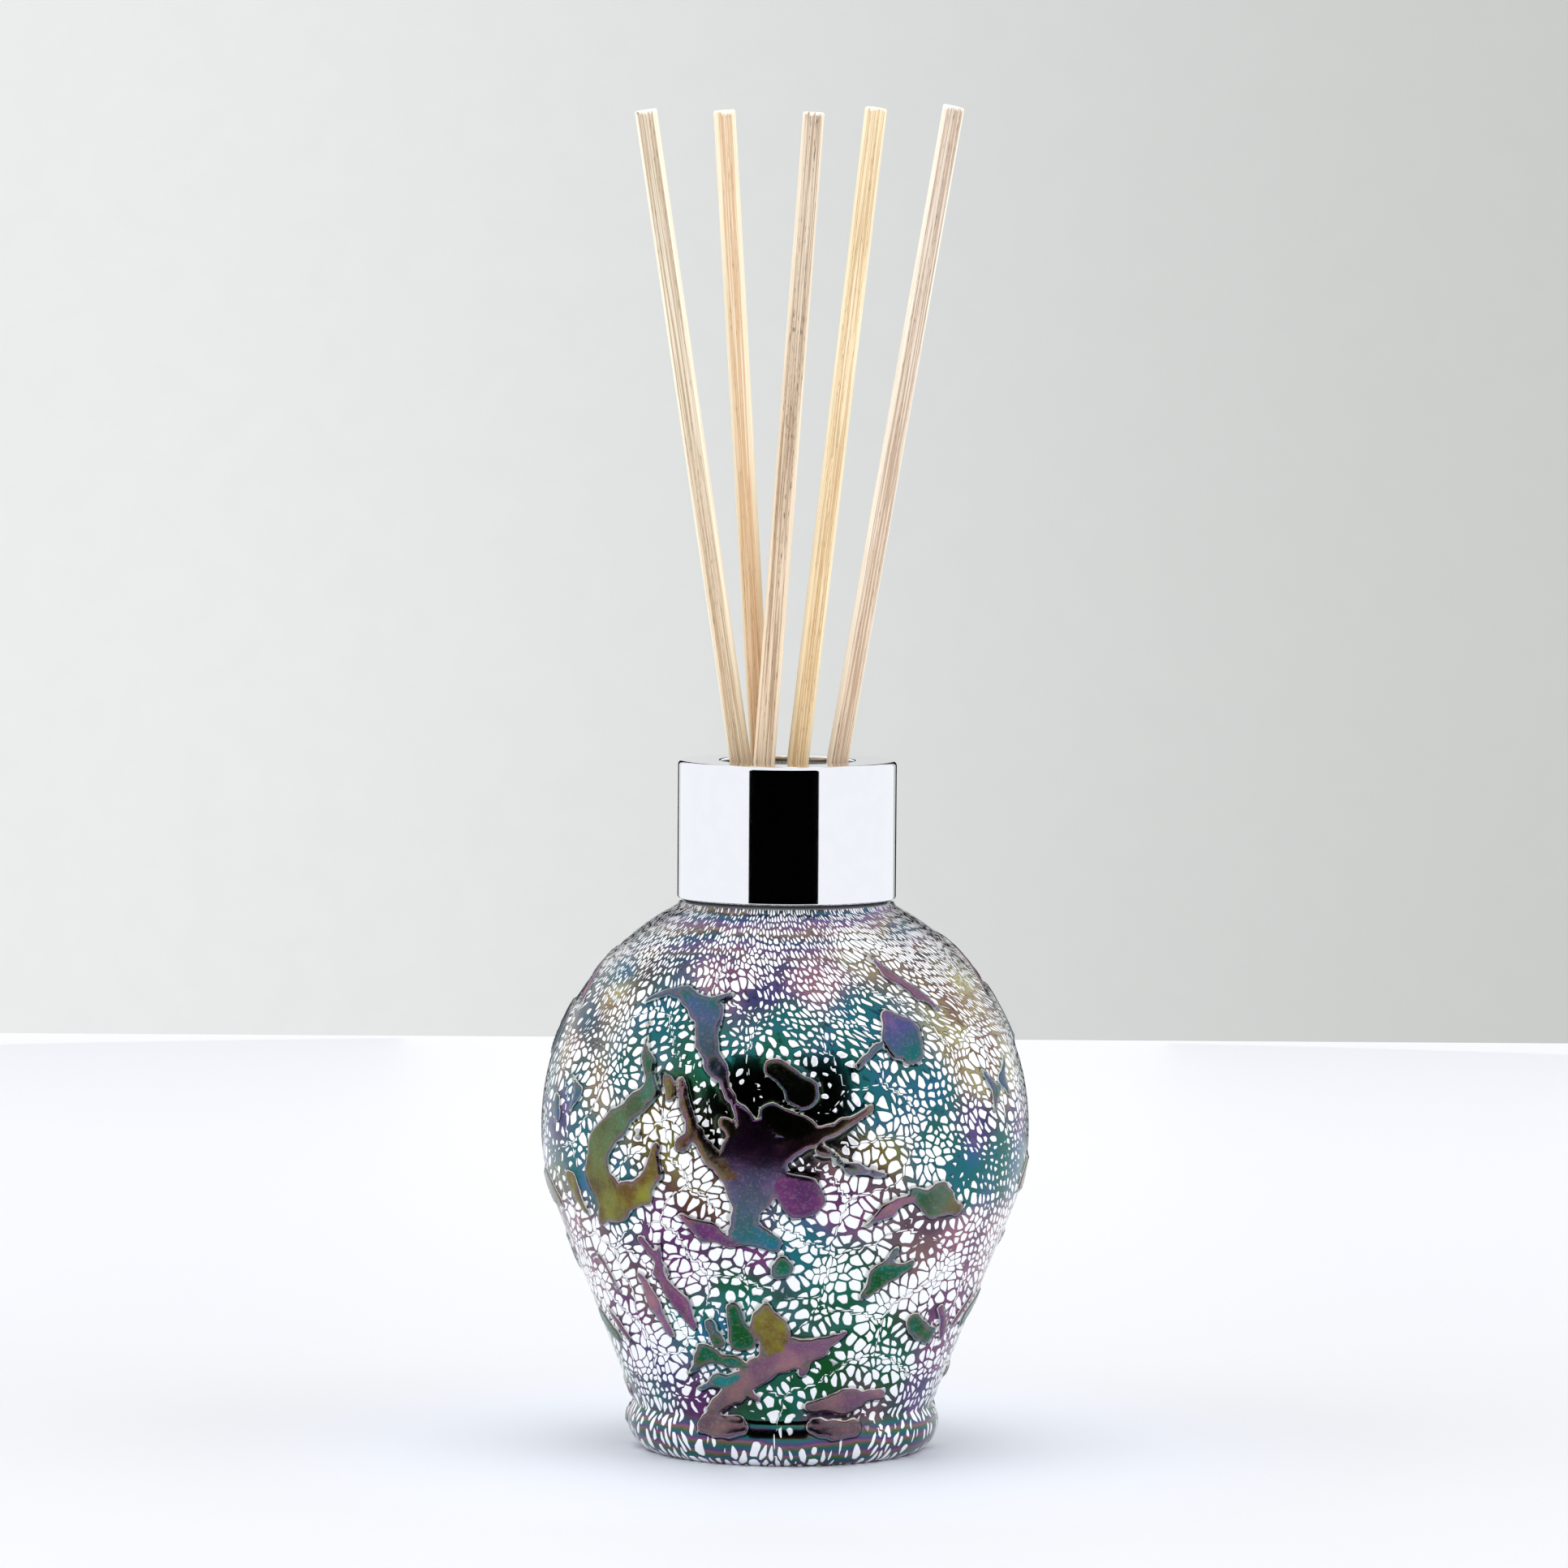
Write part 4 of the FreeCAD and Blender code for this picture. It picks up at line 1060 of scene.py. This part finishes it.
@dataclass
class WoodenReed:
    """One reed: a slightly squared stick with grooves along it and a rough cut end."""

    number: int
    wood: ReedWood
    squareness: float = 0.09
    groove: float = 0.03 * MM
    radius: float = 1.63 * MM
    round_end: float = 0.22 * MM
    sides: int = 72
    ring_gap: float = 3.0 * MM
    frayed: float = 0.9 * MM

    def line(self) -> tuple[Vector, Vector]:
        """Ends of the reed's centre line, read from its CAD node."""
        node = frame["nodes"]["reed_" + str(self.number)]
        spots = [vertex.co for vertex in node.data.vertices]
        axis = next(Vector(joint["axis"]) for joint in frame["joints"]
                    if joint["child"] == "reed_" + str(self.number)).normalized()
        reach = [spot.dot(axis) for spot in spots]
        low, high = min(reach), max(reach)
        foot = [spot for spot, along in zip(spots, reach) if along < low + 0.1 * MM]
        centre = sum(foot, Vector()) / len(foot)
        return centre, centre + axis * (high - low)

    def build(self) -> bpy.types.Object:
        """Make the reed and return the piece."""
        foot, head = self.line()
        length = (head - foot).length
        draw = random.Random(40 + self.number)
        bm = bmesh.new()
        bmesh.ops.create_circle(bm, cap_ends=False, segments=self.sides, radius=self.radius)
        edges = bm.edges[:]
        stops = [self.round_end * 0.35, self.round_end]
        count = round((length - 2 * self.round_end) / self.ring_gap)
        stops += [self.round_end + (length - 2 * self.round_end) * n / count
                  for n in range(1, count + 1)]
        stops.insert(-1, length - self.frayed)
        stops += [length - self.round_end * 0.35, length]
        at = 0.0
        first = edges
        for stop in stops:
            grown = bmesh.ops.extrude_edge_only(bm, edges=edges)
            verts = [item for item in grown["geom"] if isinstance(item, bmesh.types.BMVert)]
            edges = [item for item in grown["geom"] if isinstance(item, bmesh.types.BMEdge)]
            bmesh.ops.translate(bm, verts=verts, vec=(0, 0, stop - at))
            at = stop
        bmesh.ops.contextual_create(bm, geom=first)
        bmesh.ops.contextual_create(bm, geom=edges)
        bmesh.ops.recalc_face_normals(bm, faces=bm.faces[:])
        seed = Vector((draw.uniform(0, 50), draw.uniform(0, 50), draw.uniform(0, 50)))
        twist = math.radians(45) + draw.uniform(-0.15, 0.15)
        tilt = Vector((draw.uniform(-0.05, 0.05), draw.uniform(-0.05, 0.05)))
        for vert in bm.verts:
            x, y, z = vert.co
            angle = math.atan2(y, x)
            square = self.squareness * math.cos(4 * (angle + twist)) * self.radius * 0.5
            around = Vector((math.cos(angle), math.sin(angle), 0)) * 3.2
            cut = noise.noise(around * 1.6 + seed + Vector((0, 0, z * 6)))
            fine = noise.noise(around * 5.0 + seed + Vector((0, 0, z * 14)))
            slow = noise.noise(seed + Vector((0, 0, z * 22)))
            reach = self.radius + square + self.groove * (cut + 0.6 * fine) + 0.03 * MM * slow
            end = min(z, length - z)
            if end < self.round_end:
                share = 1 - end / self.round_end
                reach -= self.round_end * 0.55 * share * share
            reach = min(reach, 1.64 * MM)
            vert.co.x, vert.co.y = math.cos(angle) * reach, math.sin(angle) * reach
            if z > length - self.round_end:
                vert.co.z += tilt.x * vert.co.x + tilt.y * vert.co.y - 0.12 * MM
        places = np.array([vert.co[:] for vert in bm.verts]) / MM
        top = np.array([1.0 if vert.co.z < 1e-5 else
                        min(max((vert.co.z - length) / self.frayed + 1.1, 0.0), 1.0)
                        for vert in bm.verts])
        turn = Vector((0, 0, 1)).rotation_difference((head - foot).normalized()).to_matrix().to_4x4()
        bmesh.ops.transform(bm, matrix=Matrix.Translation(foot) @ turn, verts=bm.verts[:])
        piece = new_piece("wooden_reed_" + str(self.number), bm, self.wood.material())
        store(piece.data, "fibre", places)
        store(piece.data, "cut", top)
        name = "reed_" + str(self.number)
        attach(piece, name)
        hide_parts(name)
        return piece


@dataclass
class Studio:
    """Table, wall, soft light and the camera."""

    table_back: float = 0.60
    wall_gap: float = 2.20
    table_front: float = 0.20
    near: float = 0.34
    skin: float = 0.05 * MM
    card_radius: float = 0.6
    card_top: float = 0.50
    cards: tuple[tuple[str, float, float], ...] = (("black_card", -40.0, 33.0),
                                                   ("left_flag", -172.0, -160.0),
                                                   ("right_flag", 160.0, 172.0))
    sky: Colour = (0.95, 0.97, 1.0)
    sky_strength: float = 1.03
    eye_distance: float = 1.20
    eye_height: float = 0.18
    aim_height: float = 0.0968
    lens: float = 189.6
    roll: float = 0.38
    shift: Point = (-0.0021, 0.0016)

    def board(self, name: str, size: Point, place: Matrix,
              material: bpy.types.Material) -> bpy.types.Object:
        """Make a flat board.

        Args:
            name: the object's name.
            size: its width and depth.
            place: where it lies.
            material: its material.

        Returns:
            The board.
        """
        bm = bmesh.new()
        bmesh.ops.create_grid(bm, x_segments=1, y_segments=1, size=0.5)
        bmesh.ops.transform(bm, matrix=place @ Matrix.Diagonal((*size, 1.0, 1.0)), verts=bm.verts[:])
        piece = new_piece(name, bm, material, smooth=False)
        return piece

    def sheet(self, name: str, corners: tuple[Point, Point], height: float,
              material: bpy.types.Material) -> bpy.types.Object:
        """Lay a board between two (x, y) corners at a height."""
        (x_low, y_low), (x_high, y_high) = corners
        place = Matrix.Translation(((x_low + x_high) / 2, (y_low + y_high) / 2, height))
        return self.board(name, (x_high - x_low, y_high - y_low), place, material)

    def upright(self, name: str, size: Point, depth: float,
                material: bpy.types.Material) -> bpy.types.Object:
        """Stand a board behind the object, half of its height below the table."""
        place = Matrix.Translation((0, depth, 0)) @ Matrix.Rotation(math.pi / 2, 4, "X")
        return self.board(name, size, place, material)

    def table_material(self) -> bpy.types.Material:
        """White satin board with painted light: paler and bluish beside the object, over its shadow, and
        paler far away, and return it.
        """
        tree = Tree("table_white")
        place = tree.add("TexCoord").outputs["Object"]
        reach = tree.add("VectorMath", {0: place}, operation="LENGTH").outputs["Value"]
        depth = tree.add("SeparateXYZ", {0: place}).outputs["Y"]
        # Painted light: the board is paler towards the back, and paler and bluish beside the object,
        # where its shadow falls.
        colour = tree.mix(tree.step(depth, 0.0, 0.5), (0.80, 0.80, 0.82), (0.90, 0.89, 0.92))
        colour = tree.mix(tree.step(reach, 0.09, 0.03), colour, (0.86, 0.89, 0.96))
        fine = tree.speckle(place, 900.0)
        return tree.finish(Base_Color=colour, Roughness=0.6, Normal=tree.bump(fine, 0.01 * MM, 0.4))

    def wall_material(self) -> bpy.types.Material:
        """Pale paper with painted shade that deepens to the right, and return the material."""
        tree = Tree("wall_paper")
        place = tree.add("TexCoord").outputs["Object"]
        across = tree.add("SeparateXYZ", {0: place}).outputs["X"]
        shade = tree.step(across, -0.37, 0.41)
        colour = tree.mix(shade, (0.797, 0.800, 0.775), (0.550, 0.556, 0.524))
        fine = tree.speckle(place, 60.0, 2.0)
        colour = tree.mix(tree.step(fine, 0.3, 0.7, 0.0, 0.03), colour, (0.4, 0.4, 0.4))
        return tree.finish(Base_Color=colour, Roughness=0.9)

    def card(self, name: str, left: float, right: float) -> bpy.types.Object:
        """Stand a curved black card by the object, seen only in its reflections.

        Args:
            name: the card's name.
            left: degrees from the front at which it starts.
            right: degrees from the front at which it ends.

        Returns:
            The card.
        """
        bm = bmesh.new()
        start = math.radians(left - 90)
        sweep = math.radians(right - left)
        spot = Vector((math.cos(start), math.sin(start), 0)) * self.card_radius
        low = bm.verts.new(spot + Vector((0, 0, -0.6)))
        high = bm.verts.new(spot + Vector((0, 0, self.card_top)))
        edge = bm.edges.new((low, high))
        bmesh.ops.spin(bm, geom=[low, high, edge], cent=(0, 0, 0), axis=(0, 0, 1),
                       dvec=(0, 0, 0), angle=sweep, steps=32, use_duplicate=False)
        black = PlainFinish(name + "_black", (0.0, 0.0, 0.0), (0.001, 0.001, 0.001), 0.9).material()
        black.node_tree.nodes["Principled BSDF"].inputs["Specular IOR Level"].default_value = 0.0
        piece = new_piece(name, bm, black)
        piece.visible_camera = False
        piece.visible_shadow = False
        piece.visible_diffuse = False
        return piece

    def softbox(self, name: str, place: Vector, size: Point, power: float) -> None:
        """Hang an area light that faces the object."""
        light = bpy.data.lights.new(name, "AREA")
        light.shape = "RECTANGLE"
        light.size, light.size_y = size
        light.energy = power
        lamp = bpy.data.objects.new(name, light)
        lamp.location = place
        lamp.rotation_euler = (Vector((0, 0, 0.08)) - place).to_track_quat("-Z", "Y").to_euler()
        lamp.visible_camera = False
        lamp.visible_glossy = False
        bpy.context.scene.collection.objects.link(lamp)

    def build(self) -> None:
        """Make the stage, the lights and the camera."""
        scene = bpy.context.scene
        table = self.table_material()
        wall = self.wall_material()
        self.sheet("table_near", ((-self.near, -self.table_front), (self.near, self.near)), 0.0, table)
        far = self.sheet("table", ((-6.0, -9.0), (6.0, self.table_back)), -self.skin, table)
        far.visible_glossy = False
        self.upright("wall_near", (2.4, 2.5), self.wall_gap - self.skin, wall)
        backdrop = self.upright("wall", (9.0, 7.0), self.wall_gap, wall)
        backdrop.visible_glossy = False
        for name, left, right in self.cards:
            self.card(name, left, right)
        self.softbox("left_softbox", Vector((-1.1, -0.35, 0.55)), (1.0, 1.3), 4.1)
        self.softbox("right_softbox", Vector((1.1, -0.35, 0.55)), (1.0, 1.3), 4.0)
        self.softbox("top_softbox", Vector((0.0, 0.1, 1.3)), (1.2, 1.2), 3.9)
        world = bpy.data.worlds.new("studio")
        world.use_nodes = True
        sky = world.node_tree.nodes["Background"].inputs
        sky["Color"].default_value = (*self.sky, 1.0)
        sky["Strength"].default_value = self.sky_strength
        scene.world = world
        scene.view_settings.view_transform = "Standard"

        camera = bpy.data.cameras.new("camera")
        camera.lens = self.lens
        camera.sensor_width = 36.0
        camera.shift_x, camera.shift_y = self.shift
        eye = bpy.data.objects.new("camera", camera)
        aim = Vector((0.0, 0.0, self.aim_height))
        eye.location = Vector((0.0, -self.eye_distance, self.eye_height))
        look = (aim - eye.location).to_track_quat("-Z", "Y").to_matrix().to_4x4()
        turned = look @ Matrix.Rotation(math.radians(self.roll), 4, "Z")
        eye.rotation_euler = turned.to_euler()
        scene.collection.objects.link(eye)
        scene.camera = eye


# Colours in order: pale tone painted on the lit sides, darker tone painted as shade on the front and
# back, dark lines.
REED_WOODS = (
    ReedWood("reed_wood_1", (1.0, 0.93, 0.74), (0.74, 0.60, 0.44), (0.52, 0.38, 0.25), 0.45, 3.0, 0.16),
    ReedWood("reed_wood_2", (1.0, 0.90, 0.68), (0.90, 0.66, 0.44), (0.72, 0.46, 0.25), 0.30, 11.0, 0.06),
    ReedWood("reed_wood_3", (1.0, 0.88, 0.70), (0.68, 0.53, 0.39), (0.40, 0.28, 0.19), 0.85, 19.0, -0.03),
    ReedWood("reed_wood_4", (1.0, 0.91, 0.66), (0.90, 0.68, 0.41), (0.64, 0.43, 0.22), 0.40, 27.0, -0.08),
    ReedWood("reed_wood_5", (1.0, 0.93, 0.80), (0.74, 0.58, 0.45), (0.50, 0.36, 0.26), 0.60, 36.0, -0.24),
)

CAD_FINISHES = {
    "cement_ring": PlainFinish("cement", (0.72, 0.70, 0.64), (0.62, 0.60, 0.55), 0.85,
                               bump_depth=0.05 * MM),
    "neck_ferrule": PlainFinish("ferrule_metal", (0.74, 0.74, 0.73), (0.66, 0.66, 0.66), 0.32, 1.0,
                                stretch=(1.0, 1.0, 8.0)),
    "collar_seal": PlainFinish("seal_rubber", (0.030, 0.022, 0.018), (0.045, 0.034, 0.026), 0.6,
                               bump_depth=0.03 * MM),
    "collar_liner": PlainFinish("liner_plastic", (0.34, 0.34, 0.33), (0.28, 0.28, 0.28), 0.45,
                                bump_depth=0.02 * MM),
    "fragrance_oil": PlainFinish("oil", (0.36, 0.23, 0.07), (0.30, 0.19, 0.05), 0.05, coat=1.0,
                                 bump_depth=0.0),
}


def main() -> None:
    """Build every sub-assembly in order and report each piece."""
    logging.basicConfig(level=logging.INFO, format="%(message)s")
    inside = PlainFinish("inner_glass", (0.23, 0.24, 0.25), (0.18, 0.19, 0.20), 0.08, coat=0.6,
                         grain=120.0).material()
    pieces = [BlownBottle().build(LustreGlass().material(), inside)]
    chrome = PlainFinish("chrome", (0.90, 0.91, 0.93), (0.88, 0.89, 0.92), 0.045, 1.0,
                         bump_depth=0.0005 * MM)
    pieces.append(ScrewCollar().build(chrome.material()))
    for number, wood in enumerate(REED_WOODS, start=1):
        pieces.append(WoodenReed(number, wood).build())
    for node, finish in CAD_FINISHES.items():
        part = frame["nodes"][node]
        made = finish.material()
        if not part.data.materials:
            part.data.materials.append(made)
        for slot in part.material_slots:
            slot.material = made
        log.info("%s: %s", node, finish.name)
    for piece in pieces:
        log.info("%s: %d faces", piece.name, len(piece.data.polygons))
    Studio().build()


if __name__ == "__main__":
    main()
